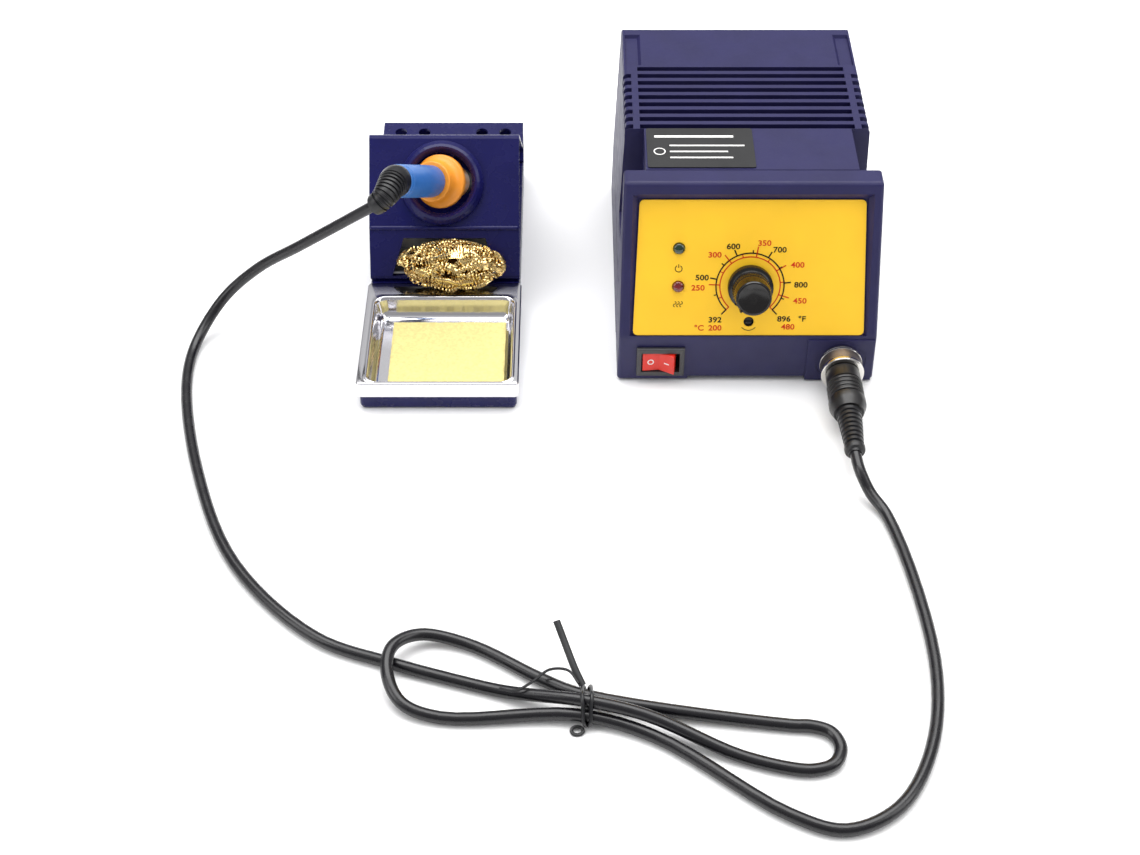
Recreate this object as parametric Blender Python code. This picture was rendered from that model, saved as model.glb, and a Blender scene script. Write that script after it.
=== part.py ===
"""Soldering iron station: a temperature-controlled base unit, an iron stand with a sponge tray and
brass wool, and the iron, whose cord lies in a tied hank on the table and plugs into the base unit.

Shapes are drawn in millimetres and become metres when an object is made. Empties hold the slanted
frames (panel, holder ring, wool hole, iron, plug, rear), each with Z pointing out of its face.
"""

import math

import bmesh
import bpy
from mathutils import Euler, Matrix, Vector

MM = 0.001

# Base unit. It stands to the right of the stand, and half_width() gives its drafted sides.
STATION_X = 58.0
CASE_HEIGHT = 92.5
CASE_HALF = 58.0
CASE_DRAFT = 2.0
WALL = 2.4
CASE_FRONT = -71.0
BEZEL_BACK = -38.0
CASE_BACK = 80.0
FLOOR = 3.0
GAP = 0.3
SPLIT = 30.0
PANEL_ANGLE = math.radians(68.8)
PANEL_START = (0.0, -70.1, 26.2)
PANEL_HEIGHT = 61.8
NOTCH_X = 46.3
NOTCH_BACK = -6.0
NOTCH_Z = 47.0
SLOT_COUNT = 9
SLOT_PITCH = 5.96
SLOT_LAST = 43.5
SLOT_WIDTH = 3.3
POSTS = [(-38.0, -30.0), (38.0, -30.0), (-47.0, 70.0), (47.0, 70.0)]
FEET = [(-48.0, -20.0), (48.0, -20.0), (-48.0, 56.0), (48.0, 56.0)]

# Controls, in the panel's own frame (across, up the slope).
DIAL = (0.0, 22.9)
TRIMMER = (0.0, 6.3)
LAMPS = {"power_led": (-31.6, 40.0), "heater_led": (-31.6, 22.6)}
KNOB_REST = math.radians(-133)
SWITCH = (-38.65, 12.2)
ROCKER_PIVOT_Y = -68.5
ROCKER_TILT = math.radians(-11)
CONNECTOR = (42.2, 12.6)

# Stand.
STAND_X = -80.0
SHEET = 1.2
BASE_TOP = 14.4
BASE_HALF = 35.0
PLATE_PATH = [
    (-5.0, 14.8), (-18.5, 14.8), (-6.0, 37.5), (23.0, 70.0),
    (70.0, 32.0), (89.0, 34.0), (89.0, 14.8), (80.0, 14.8),
]
WOOL_CENTRE = (-12.6, 25.5)
WOOL_ANGLE = math.radians(61.2)
RING_CENTRE = (-81.0, 7.9, 53.1)
RING_ANGLE = math.radians(48.25)

# Iron: its axis points up out of the ring, and every station along it is measured from this origin.
IRON_ORIGIN = (-81.0, 8.0, 54.0)
IRON_AXIS = (-0.319, -0.771, 0.550)
RELIEF_CURVE = [(-97.6, -32.1, 82.6), (-99.2, -36.0, 85.4), (-100.0, -47.9, 85.0), (-106.0, -46.0, 80.0)]

# Cord: where it lies, from the iron's strain relief to the plug's boot.
CORD_RADIUS = 2.5
LOWEST_CORD = 2.6
CORD_ROUTE = [
    (-106.5, -45.9, 79.5), (-143.0, -34.5, 49.0), (-165.0, -28.0, 31.0), (-182.0, -30.0, 15.5),
    (-193.0, -46.0, 4.8), (-194.8, -72.0, 2.6), (-181.3, -131.7, 2.6), (-157.6, -187.0, 2.6),
    (-121.0, -225.5, 2.6), (-90.5, -238.5, 2.6), (-48.0, -252.3, 2.9), (-15.0, -261.8, 8.7),
    (8.0, -267.5, 7.0), (41.3, -282.6, 2.8), (61.4, -288.5, 2.6), (69.0, -288.8, 2.6),
    (76.1, -285.9, 2.6), (79.0, -278.8, 2.6), (76.1, -271.7, 2.6), (69.0, -268.8, 2.6),
    (61.4, -268.4, 2.6), (-16.0, -255.2, 3.9), (-33.0, -246.0, 2.6), (-62.0, -228.8, 2.8),
    (-80.0, -226.6, 5.6), (-89.8, -234.5, 8.1), (-91.2, -246.5, 7.2), (-85.2, -258.8, 4.0),
    (-70.0, -264.9, 2.6), (-19.0, -264.6, 3.9), (10.0, -273.5, 2.6), (57.5, -308.3, 2.6),
    (77.0, -315.0, 2.6), (97.0, -305.5, 2.6), (112.5, -279.5, 2.6), (120.0, -236.8, 2.6),
    (111.5, -160.0, 2.9), (105.2, -148.5, 5.8), (101.2, -140.0, 10.9), (100.2, -132.2, 12.6),
]
TIE_X = -15.0


def half_width(z):
    """Half the base unit's width at a height."""
    return CASE_HALF - CASE_DRAFT * z / CASE_HEIGHT


# ---- Outlines and loops ----


def disc(radius, height, count=32, centre=(0.0, 0.0), sides=0, squash=1.0):
    """A round loop at a height. With sides, it follows the edges of a regular polygon instead."""
    points = []
    for i in range(count):
        angle = math.tau * i / count
        reach = radius
        if sides:
            step = math.tau / sides
            reach *= math.cos(step / 2) / math.cos(angle % step - step / 2)
        x = centre[0] + reach * math.cos(angle)
        y = centre[1] + squash * reach * math.sin(angle)
        points.append(Vector((x, y, height)))
    return points


def rectangle(x0, x1, y0, y1, radius, height, steps=4):
    """A loop round a rectangle with rounded corners, starting at its near left corner."""
    corners = [(x0, y0, 180), (x1, y0, 270), (x1, y1, 0), (x0, y1, 90)]
    points = []
    for x, y, start in corners:
        centre_x = x + radius * (1 if x == x0 else -1)
        centre_y = y + radius * (1 if y == y0 else -1)
        for i in range(steps + 1):
            angle = math.radians(start + 90 * i / steps)
            points.append(
                Vector((centre_x + radius * math.cos(angle), centre_y + radius * math.sin(angle), height))
            )
    return points


def rounded_path(path, radius, steps=3):
    """An open path of 2-D points with an arc in place of each inner corner."""
    points = [Vector(path[0])]
    for before, corner, after in zip(path, path[1:], path[2:]):
        corner = Vector(corner)
        back = (Vector(before) - corner).normalized()
        ahead = (Vector(after) - corner).normalized()
        half = back.angle(ahead) / 2
        middle = (back + ahead).normalized()
        centre = corner + middle * radius / math.sin(half)
        reach = radius / math.tan(half)
        first = corner + back * reach - centre
        last = corner + ahead * reach - centre
        sweep = first.angle(last)
        for i in range(steps + 1):
            early = math.sin(sweep * (1 - i / steps)) / math.sin(sweep)
            late = math.sin(sweep * i / steps) / math.sin(sweep)
            points.append(centre + first * early + last * late)
    points.append(Vector(path[-1]))
    return points


def offset_path(path, distance):
    """The path moved sideways to its right, keeping its distance at every corner."""
    points = []
    for i, point in enumerate(path):
        ways = []
        if i > 0:
            ways.append((Vector(point) - Vector(path[i - 1])).normalized())
        if i < len(path) - 1:
            ways.append((Vector(path[i + 1]) - Vector(point)).normalized())
        rights = [Vector((way.y, -way.x)) for way in ways]
        mitre = sum(rights, Vector((0, 0))).normalized()
        points.append(Vector(point) + mitre * distance / mitre.dot(rights[0]))
    return points


def sheet_outline(path, thickness, radius=1.5):
    """The closed outline of a bent sheet whose outer face follows the path, with the rest to its right."""
    middle = rounded_path(offset_path(path, thickness / 2), radius)
    return offset_path(middle, -thickness / 2) + offset_path(middle, thickness / 2)[::-1]


def smoothed(route, steps):
    """Points along a smooth curve through the route (a centripetal Catmull-Rom curve)."""
    points = [Vector(point) for point in route]
    points = [2 * points[0] - points[1]] + points + [2 * points[-1] - points[-2]]
    path = []
    for i in range(1, len(points) - 2):
        a, b, c, d = points[i - 1 : i + 3]
        t1 = (b - a).length ** 0.5
        t2 = t1 + (c - b).length ** 0.5
        t3 = t2 + (d - c).length ** 0.5
        for step in range(steps):
            t = t1 + (t2 - t1) * step / steps
            first = a.lerp(b, t / t1)
            second = b.lerp(c, (t - t1) / (t2 - t1))
            third = c.lerp(d, (t - t2) / (t3 - t2))
            early = first.lerp(second, t / t2)
            late = second.lerp(third, (t - t1) / (t3 - t1))
            path.append(early.lerp(late, (t - t1) / (t2 - t1)))
    path.append(points[-2])
    for point in path:
        point.z = max(point.z, LOWEST_CORD)
    return path


# ---- Solid shapes ----


def loft(loops, ring=False):
    """Faces between neighbouring loops, with a cap on each end or, for a ring, back to the first loop."""
    shape = bmesh.new()
    rows = [[shape.verts.new(point) for point in loop] for loop in loops]
    pairs = list(zip(rows, rows[1:]))
    if ring:
        pairs.append((rows[-1], rows[0]))
    for low, high in pairs:
        for i in range(len(low)):
            j = (i + 1) % len(low)
            shape.faces.new((low[i], low[j], high[j], high[i]))
    if not ring:
        shape.faces.new(rows[0][::-1])
        shape.faces.new(rows[-1])
    bmesh.ops.recalc_face_normals(shape, faces=shape.faces)
    return shape


def turned(profile, count=32, centre=(0.0, 0.0), ring=False, sides=0):
    """A round solid about Z through the (radius, height) points of its profile."""
    return loft([disc(radius, height, count, centre, sides) for radius, height in profile], ring)


def swept(path, radii, count):
    """A round bar along the path, with a radius for each of its points."""
    loops = []
    side = None
    for i, point in enumerate(path):
        ahead = (path[min(i + 1, len(path) - 1)] - path[max(i - 1, 0)]).normalized()
        if side is None:
            side = ahead.orthogonal()
        side = (side - ahead * side.dot(ahead)).normalized()
        up = ahead.cross(side)
        loop = []
        for j in range(count):
            angle = math.tau * j / count
            loop.append(point + radii[i] * (side * math.cos(angle) + up * math.sin(angle)))
        loops.append(loop)
    return loft(loops)


def prism_x(outline, half):
    """A (y, z) outline drawn out along X to a half width, which may depend on z."""
    reach = half if callable(half) else lambda z: half
    left = [Vector((-reach(z), y, z)) for y, z in outline]
    right = [Vector((reach(z), y, z)) for y, z in outline]
    return loft([left, right])


def prism_y(outline, y0, y1):
    """An (x, z) outline drawn out along Y."""
    return loft([[Vector((x, y, z)) for x, z in outline] for y in (y0, y1)])


def prism_z(outline, z0, z1):
    """An (x, y) outline drawn out along Z."""
    return loft([[Vector((x, y, z)) for x, y in outline] for z in (z0, z1)])


def block(x0, x1, y0, y1, z0, z1):
    return prism_z([(x0, y0), (x1, y0), (x1, y1), (x0, y1)], z0, z1)


def round_edges(shape, width, wanted, segments=2):
    """Rounds the edges of a shape that pass the test."""
    edges = [edge for edge in shape.edges if wanted(edge)]
    bmesh.ops.bevel(
        shape, geom=edges, offset=width, segments=segments, profile=0.5, affect="EDGES", clamp_overlap=True
    )
    return shape


# ---- Objects ----


def mesh_of(name, shapes):
    whole = bmesh.new()
    for shape in shapes:
        bmesh.ops.scale(shape, vec=(MM, MM, MM), verts=shape.verts)
        piece = bpy.data.meshes.new(name)
        shape.to_mesh(piece)
        whole.from_mesh(piece)
        bpy.data.meshes.remove(piece)
        shape.free()
    mesh = bpy.data.meshes.new(name)
    whole.to_mesh(mesh)
    whole.free()
    return mesh


def solid(name, shapes, material, parent=None, sharp=35):
    """A sub-part of one or more shapes, in its parent's frame."""
    mesh = mesh_of(name, shapes)
    mesh.shade_smooth()
    mesh.set_sharp_from_angle(angle=math.radians(sharp))
    mesh.materials.append(material)
    made = bpy.data.objects.new(name, mesh)
    made.parent = parent
    bpy.context.collection.objects.link(made)
    return made


def combine(target, operation, shapes, parent):
    """Adds a Boolean of the shapes, held by a helper object that stays out of the model."""
    name = f"{target.name}_{operation.lower()}_{len(target.modifiers)}"
    helper = bpy.data.objects.new(name, mesh_of(name, shapes))
    helper.parent = parent
    helper.hide_render = True
    helper.display_type = "WIRE"
    bpy.context.collection.objects.link(helper)
    boolean = target.modifiers.new(name, "BOOLEAN")
    boolean.operation = operation
    boolean.solver = "EXACT"
    boolean.object = helper
    return helper


def cut(target, shapes, parent=None):
    return combine(target, "DIFFERENCE", shapes, parent or target.parent)


def join(target, shapes, parent=None):
    return combine(target, "UNION", shapes, parent or target.parent)


def frame(name, location, parent=None, turn=(0.0, 0.0, 0.0)):
    """An empty at a place in millimetres, turned about X, Y and Z."""
    made = bpy.data.objects.new(name, None)
    made.empty_display_size = 0.01
    made.parent = parent
    place = Matrix.Translation(Vector(location) * MM)
    made.matrix_local = place @ Euler(turn).to_matrix().to_4x4()
    bpy.context.collection.objects.link(made)
    return made


def material(name, red, green, blue, roughness, metallic=0.0):
    """A Principled material from an sRGB colour of 0 to 255."""
    made = bpy.data.materials.new(name)
    made.use_nodes = True
    shader = made.node_tree.nodes["Principled BSDF"]
    linear = [(value / 255) ** 2.2 for value in (red, green, blue)]
    shader.inputs["Base Color"].default_value = (*linear, 1.0)
    shader.inputs["Roughness"].default_value = roughness
    shader.inputs["Metallic"].default_value = metallic
    return made


# ---- Base unit: case ----


def front_bezel(station, panel, plug, paint):
    """The moulded front: a slanted panel seat above a strip that holds the switch and the socket."""
    outline = [
        (CASE_FRONT, 0.6), (CASE_FRONT, 25.6), (-47.6, CASE_HEIGHT), (BEZEL_BACK, CASE_HEIGHT), (BEZEL_BACK, 0.6),
    ]
    body = prism_x(outline, half_width)
    front = BEZEL_BACK - 0.5
    round_edges(body, 1.5, lambda edge: min(vert.co.y for vert in edge.verts) < front, 3)
    bezel = solid("front_bezel", [body], paint, station)
    hollow = [
        (-68.6, 5.4), (-68.6, 22.5), (-66.6, 26.4), (-44.7, 82.8), (-44.7, 90.1), (-40.4, 90.1), (-40.4, 5.4),
    ]
    cut(bezel, [prism_x(hollow, lambda z: half_width(z) - WALL)])
    cut(bezel, [block(-43.9, 43.9, -42.0, -36.0, 5.4, 90.1)])
    mouth = [(-42.0, 5.4), (-42.0, 44.6), (-36.0, 44.6), (-36.0, 5.4)]
    cut(bezel, [prism_x(mouth, lambda z: half_width(z) - WALL)])
    cut(bezel, [block(-55.6, 55.6, -68.6, -36.0, -1.0, FLOOR)])
    cut(bezel, [block(-26.0, 27.0, -75.0, -67.0, -1.0, FLOOR)])
    low = [Vector((x, y, -0.8)) for x, y in [(-51.8, -0.35), (51.8, -0.35), (49.5, 62.2), (-49.5, 62.2)]]
    high = [Vector((x, y, 8.0)) for x, y in [(-58.3, -0.35), (58.3, -0.35), (56.0, 68.7), (-56.0, 68.7)]]
    cut(bezel, [loft([low, high])], panel)
    join(bezel, [block(27.0, 56.8, CASE_FRONT - 0.5, CASE_FRONT + 1.5, 1.0, 24.3)])
    holes = [turned([(3.8, -6), (3.8, 3)], 24, DIAL), turned([(2.4, -6), (2.4, 3)], 16, TRIMMER)]
    holes += [turned([(2.8, -6), (2.8, 3)], 16, place) for place in LAMPS.values()]
    cut(bezel, holes, panel)
    x, z = SWITCH
    cut(bezel, [block(x - 9.6, x + 9.6, -75.0, -66.0, z - 6.3, z + 6.3)])
    cut(bezel, [turned([(5.6, -6), (5.6, 3)], 24)], plug)
    cut(bezel, [turned([(11.5, 0.2), (11.5, 3)], 32)], plug)
    return bezel


def panel_overlay(panel, paint):
    """The printed sheet in the bezel's recess."""
    outline = rounded_trapezoid(51.4, 49.1, PANEL_HEIGHT, 2.0)
    sheet = solid("panel_overlay", [prism_z(outline, -0.5, 0.0)], paint, panel)
    holes = [turned([(4.0, -2), (4.0, 2)], 24, DIAL), turned([(2.3, -2), (2.3, 2)], 16, TRIMMER)]
    holes += [turned([(2.75, -2), (2.75, 2)], 16, place) for place in LAMPS.values()]
    cut(sheet, holes)
    return sheet


def rounded_trapezoid(low_half, high_half, height, radius):
    """A closed (x, y) outline, wider at its foot, with rounded corners."""
    path = [
        (0.0, 0.0), (low_half, 0.0), (high_half, height), (-high_half, height), (-low_half, 0.0), (0.0, 0.0),
    ]
    return [tuple(point) for point in rounded_path(path, radius)][1:]


def bottom_case(station, paint):
    """The lower shell: a floor between two side walls, standing on feet."""
    right = [
        (half_width(0.6), 0.6), (half_width(SPLIT), SPLIT), (half_width(SPLIT) - WALL, SPLIT),
        (half_width(5.4) - WALL, 5.4),
    ]
    under = [(half_width(FLOOR) - WALL, FLOOR), (half_width(0.6) - WALL, 0.6)]
    outline = right + [(-x, z) for x, z in right[::-1]] + [(-x, z) for x, z in under[::-1]] + under
    case = solid("bottom_case", [prism_y(outline, -37.6, 79.7)], paint, station)
    cut(case, [turned([(2.0, 0), (2.0, 8)], 16, post) for post in POSTS])
    return case


def cover_half(z):
    """Half the top cover's width at a height: it draws in a little more than the bezel."""
    return 57.3 - 2.7 * (z - SPLIT) / (CASE_HEIGHT - SPLIT)


def top_cover(station, paint):
    """The upper shell, with cut-away front corners, cross slots over the roof and two pockets at the back."""
    low = SPLIT + 0.4
    outline = [(-37.6, low), (-37.6, CASE_HEIGHT), (CASE_BACK, CASE_HEIGHT), (CASE_BACK, low)]
    body = prism_x(outline, cover_half)
    top = CASE_HEIGHT - 0.1

    def upper(edge):
        return min(vert.co.z for vert in edge.verts) > top and max(vert.co.y for vert in edge.verts) > 0

    round_edges(body, 1.8, upper)
    cover = solid("top_cover", [body], paint, station)
    sides = (-1, 1)
    notches = [corner_box(side, NOTCH_X, 65.0, -60.0, NOTCH_BACK, NOTCH_Z, 99.0) for side in sides]
    cut(cover, notches)
    hollow_cover(cover)
    slots = []
    for i in range(SLOT_COUNT):
        y = SLOT_LAST - i * SLOT_PITCH
        front = y - SLOT_WIDTH / 2
        back = y + SLOT_WIDTH / 2
        slots.append(block(-48.0, 48.0, front, back, 86.0, 95.0))
        if i > 0:
            slots += [corner_box(side, 51.0, 58.0, front, back, 86.5, 95.0) for side in sides]
    cut(cover, slots)
    cut(cover, [pocket(side) for side in sides])
    join(cover, [turned([(4.0, 8.0), (4.0, 91.0 if y < 0 else 85.5)], 20, (x, y)) for x, y in POSTS])
    cut(cover, [turned([(1.5, 7.0), (1.5, 32.0)], 16, post) for post in POSTS])
    return cover


def corner_box(side, near, far, y0, y1, z0, z1):
    """A box between two distances from the middle, on one side."""
    return block(min(side * near, side * far), max(side * near, side * far), y0, y1, z0, z1)


def pocket(side):
    """A shallow pocket at the back of the roof, with a sloped inner wall and a sloped end."""
    loops = []
    for near, far, start, end, z in [
        (47.3, 53.1, 46.8, 73.0, 91.0), (45.9, 53.3, 46.8, 74.0, 92.6), (45.9, 53.3, 46.8, 74.0, 95.0),
    ]:
        corners = [(near, start), (far, start), (far, end), (near, end)]
        loops.append([Vector((side * x, y, z)) for x, y in corners[::side]])
    return loft(loops)


def hollow_cover(cover):
    """Cuts the cover's inside in four steps, which leave its wall behind the notches and the pockets."""
    def inner(z):
        return cover_half(z) - WALL

    low_front = [(-60.0, 20.0), (-60.0, 44.6), (-3.0, 44.6), (-3.0, 20.0)]
    back = [(-3.6, 20.0), (-3.6, 89.1), (44.0, 89.1), (44.0, 84.1), (95.0, 84.1), (95.0, 20.0)]
    cut(cover, [prism_x(low_front, inner)])
    cut(cover, [prism_x(back, inner)])
    cut(cover, [block(-43.9, 43.9, -60.0, -3.0, 40.0, 89.1)])
    cut(cover, [block(-45.2, 45.2, 43.0, 95.0, 80.0, 89.1)])


def rear_panel(station, paint):
    """The flat back wall, between the two shells, with the inlet, the fuse and six vents."""
    right = [(55.1, 5.7), (54.5, SPLIT + 0.4), (52.2, 83.8), (44.9, 83.8), (44.9, 88.8)]
    outline = right + [(-x, z) for x, z in right[::-1]]
    panel = solid("rear_panel", [prism_y(outline, 76.8, 79.2)], paint, station)
    holes = [block(-38.75, -11.25, 70.0, 85.0, 24.75, 45.25)]
    for i in range(6):
        z = 58.0 + 4.4 * i
        holes.append(block(-30.0, 30.0, 70.0, 85.0, z, z + 2.2))
    cut(panel, holes)
    fuse_hole = frame("fuse_hole", (22.0, 80.0, 35.0), station, (-math.pi / 2, 0, 0))
    cut(panel, [turned([(6.7, -15), (6.7, 10)], 24)], fuse_hole)
    return panel


def station_feet(station, paint):
    for i, place in enumerate(FEET):
        foot = turned([(5.4, 0.0), (6.0, 0.6), (6.0, 2.7)], 24, place)
        solid(f"station_foot_{i + 1}", [foot], paint, station)


def case_screws(station, steel):
    """A screw through the floor into each of the cover's posts, with a cross cut into its head."""
    for i, (x, y) in enumerate(POSTS):
        head = turned([(3.0, 1.4), (3.4, 1.8), (3.4, 2.7), (1.2, 2.7), (1.2, 22.0)], 16, (x, y))
        screw = solid(f"case_screw_{i + 1}", [head], steel, station)
        cut(screw, [block(x - 2.0, x + 2.0, y - 0.4, y + 0.4, 0.0, 2.1)])


def top_label(station, paint):
    outline = [(point.x, point.y) for point in rectangle(-45.5, 1.6, -36.5, -6.5, 1.0, 0.0)]
    solid("top_label", [prism_z(outline, 92.8, 93.05)], paint, station)


# ---- Base unit: controls and connectors ----


def power_switch(station, black, red):
    """A rocker in its housing. The rocker turns about an upright axis and rests with its left side in."""
    x, z = SWITCH
    shell = block(x - 9.3, x + 9.3, -71.6, -56.0, z - 6.0, z + 6.0)
    housing = solid("switch_housing", [shell], black, station)
    rim = block(x - 10.75, x + 10.75, -72.9, CASE_FRONT - 0.3, z - 7.8, z + 7.8)
    round_edges(rim, 0.6, lambda edge: max(vert.co.y for vert in edge.verts) < -72.0, 2)
    join(housing, [rim])
    cut(housing, [block(x - 8.6, x + 8.6, -74.0, -64.0, z - 5.4, z + 5.4)])
    pivot = frame("rocker_axis", (x, ROCKER_PIVOT_Y, z), station, (0.0, 0.0, ROCKER_TILT))
    outline = [(-7.2, -5.6), (0.0, -3.4), (7.2, -5.6), (7.2, 1.0), (5.0, 2.2), (-5.0, 2.2), (-7.2, 1.0)]
    rocker = prism_z(outline, -5.1, 5.1)
    round_edges(rocker, 0.4, lambda edge: True, 2)
    solid("power_rocker", [rocker], red, pivot)


def lamps(panel, colours):
    for name, place in LAMPS.items():
        profile = [(2.5, -12.2), (2.5, 0.2), (2.2, 0.9), (1.4, 1.4), (0.5, 1.6)]
        solid(name, [turned(profile, 16, place)], colours[name], panel)


def temperature_control(panel, black, steel):
    """The potentiometer behind the panel, its nut in front, and the knob on its shaft."""
    dial = frame("dial_axis", (*DIAL, 0.0), panel)
    body = [(8.5, -12.0), (8.5, -5.0), (3.5, -5.0), (3.5, 3.0), (3.15, 3.0), (3.15, -3.4)]
    solid("potentiometer", [turned(body, 24)], steel, dial)
    nut = loft(
        [disc(5.5, 0.3, 24, sides=6), disc(5.5, 2.5, 24, sides=6), disc(3.8, 2.5, 24), disc(3.8, 0.3, 24)], True
    )
    solid("potentiometer_nut", [nut], steel, dial)
    solid("potentiometer_shaft", [turned([(2.95, -3.0), (2.95, 15.6), (2.6, 16.0)], 24)], steel, dial)
    profile = [
        (3.25, 16.3), (3.25, 4.5), (6.5, 4.5), (6.5, 0.8), (9.8, 0.8), (10.0, 1.2), (10.0, 4.4),
        (9.4, 5.2), (8.3, 5.4), (8.1, 10.0), (7.9, 10.3), (7.9, 17.8), (7.5, 18.7), (6.8, 19.0),
    ]
    knob = solid("temperature_knob", [turned(profile, 36)], black, dial)
    pointer = frame("pointer_line", (0.0, 0.0, 0.0), dial, (0.0, 0.0, KNOB_REST + math.pi / 2))
    join(knob, [block(4.2, 8.5, -0.7, 0.7, 6.0, 19.5)], pointer)
    join(knob, [block(-1.0, 5.0, -0.7, 0.7, 17.0, 19.5)], pointer)


def calibration_trimmer(panel, blue, black):
    """The trimmer behind the small hole, turned with a screwdriver."""
    trim = frame("trimmer_axis", (*TRIMMER, 0.0), panel)
    solid("cal_trimmer", [block(-3.4, 3.4, -3.4, 3.4, -12.3, -5.1)], blue, trim)
    rotor = solid("cal_rotor", [turned([(1.9, -4.8), (1.9, -1.4), (1.7, -1.2)], 16)], black, trim)
    cut(rotor, [block(-3.0, 3.0, -0.3, 0.3, -1.9, 0.0)])


def connector_socket(plug, steel):
    """The round panel socket that takes the iron's plug, and its nut behind the bezel."""
    profile = [
        (5.2, -12.0), (5.2, 0.5), (9.0, 0.5), (9.0, 1.6), (8.8, 1.8), (7.8, 1.8), (7.8, 8.2), (6.6, 8.2), (6.6, 2.3),
    ]
    solid("connector_socket", [turned(profile)], steel, plug)
    nut = [disc(6.8, -5.2, 24, sides=6), disc(6.8, -2.7, 24, sides=6), disc(5.5, -2.7, 24), disc(5.5, -5.2, 24)]
    solid("socket_nut", [loft(nut, True)], steel, plug)


def mains_inlet(rear, black, steel):
    """The mains inlet with its three pins. The frame's Y points down."""
    inlet = solid("iec_inlet", [block(-38.4, -11.6, -45.0, -25.0, -14.0, -0.3)], black, rear)
    flange = prism_z([(p.x, p.y) for p in rectangle(-40.5, -9.5, -47.0, -23.0, 3.0, 0.0)], -0.5, 1.5)
    join(inlet, [flange])
    cut(inlet, [block(-36.5, -13.5, -42.8, -27.2, -12.0, 3.0)])
    places = [(-32, -33), (-25, -37.5), (-18, -33)]
    pins = [block(x - 1.0, x + 1.0, y - 2.0, y + 2.0, -13.0, -5.0) for x, y in places]
    join(inlet, pins)


def mains_fuse(rear, black):
    """The fuse holder and its cap, which unscrews."""
    fuse = frame("fuse_axis", (22.0, -35.0, 0.0), rear)
    holder = [(6.3, -20.0), (6.3, -0.5), (8.2, -0.5), (8.2, 0.7), (7.9, 1.0), (5.0, 1.0), (5.0, -10.0)]
    solid("fuse_holder", [turned(holder, 24)], black, fuse)
    profile = [(4.7, -9.0), (4.7, 1.3), (7.0, 1.3), (7.0, 4.4), (6.4, 5.0)]
    cap = solid("fuse_cap", [turned(profile, 24)], black, fuse)
    cut(cap, [block(-5.0, 5.0, -0.6, 0.6, 3.8, 6.0)])


# ---- Base unit: inside ----


def transformer(station, iron, copper, steel):
    """The laminated core with two windows, the winding through them, and the strap that holds it down."""
    core = solid("transformer_core", [block(-33.0, 33.0, 5.0, 33.0, 6.0, 62.0)], iron, station)
    cut(core, [block(side - 6.25, side + 6.25, 0.0, 40.0, 17.2, 50.8) for side in (-15.75, 15.75)])
    winding = loft(
        [
            rectangle(-21.7, 21.7, -2.0, 40.0, 3.0, 17.5), rectangle(-21.7, 21.7, -2.0, 40.0, 3.0, 50.5),
            rectangle(-9.8, 9.8, 4.7, 33.3, 0.2, 50.5), rectangle(-9.8, 9.8, 4.7, 33.3, 0.2, 17.5),
        ],
        True,
    )
    solid("transformer_coil", [winding], copper, station)
    strap = [(-44.0, 6.9), (-34.5, 6.9), (-34.5, 63.5), (34.5, 63.5), (34.5, 6.9), (44.0, 6.9)]
    inner = [(44.0, 5.7), (33.3, 5.7), (33.3, 62.3), (-33.3, 62.3), (-33.3, 5.7), (-44.0, 5.7)]
    solid("transformer_bracket", [prism_y(strap + inner, 11.5, 26.5)], steel, station)


def electronics(panel, green, aluminium, black):
    """The control board behind the panel, with its heatsink and capacitor."""
    solid("control_board", [block(-40.0, 40.0, 2.0, 52.0, -14.2, -12.6)], green, panel)
    comb = [(8.0, -14.5), (31.0, -14.5)]
    for i in range(5):
        x = 31.0 - 5.2 * i
        comb += [(x, -34.0), (x - 2.2, -34.0)]
        if i < 4:
            comb += [(x - 2.2, -18.0), (x - 5.2, -18.0)]
    sink = loft([[Vector((x, y, w)) for x, w in comb] for y in (22.0, 48.0)])
    solid("heatsink", [sink], aluminium, panel)
    solid("capacitor", [turned([(6.0, -36.0), (6.3, -35.6), (6.3, -14.5)], 24, (-20.0, 34.0))], black, panel)


# ---- Stand ----


def stand_base(stand, paint):
    """The folded base pan, open underneath, with a hole for the tray."""
    loops = []
    for inset, z in [(0.6, 0.5), (0.0, 2.0), (0.0, 13.4), (0.3, 14.1), (1.0, BASE_TOP)]:
        half = BASE_HALF - inset
        loops.append(rectangle(-half, half, -90.1 + inset, 91.0 - inset, 2.2 - inset, z))
    base = solid("stand_base", [loft(loops)], paint, stand)
    inner = BASE_HALF - SHEET
    hollow = [(point.x, point.y) for point in rectangle(-inner, inner, -90.1 + SHEET, 91.0 - SHEET, 1.2, 0.0)]
    cut(base, [prism_z(hollow, -2.0, BASE_TOP - SHEET)])
    hole = [(point.x, point.y) for point in rectangle(-33.2, 33.2, -89.4, -29.3, 3.0, 0.0)]
    cut(base, [prism_z(hole, 7.5, 20.0)])
    return base


def stand_plate(stand, ring, wool, paint):
    """The bent sheet that holds the iron, with the wool's hole, the ring's hole and four spare tip holes."""
    plate = solid("stand_plate", [prism_x(sheet_outline(PLATE_PATH, SHEET), BASE_HALF)], paint, stand)
    cut(plate, [prism_z([(-24.7, -8.96), (24.7, -8.96), (19.1, 8.96), (-19.1, 8.96)], -2.5, 5.0)], wool)
    cut(plate, [turned([(15.0, -4.0), (15.0, 4.0)])], ring)
    cut(plate, [turned([(3.0, 28.0), (3.0, 38.0)], 16, (x, 80.0)) for x in (-26.1, -14.4, 14.4, 26.1)])
    return plate


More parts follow.
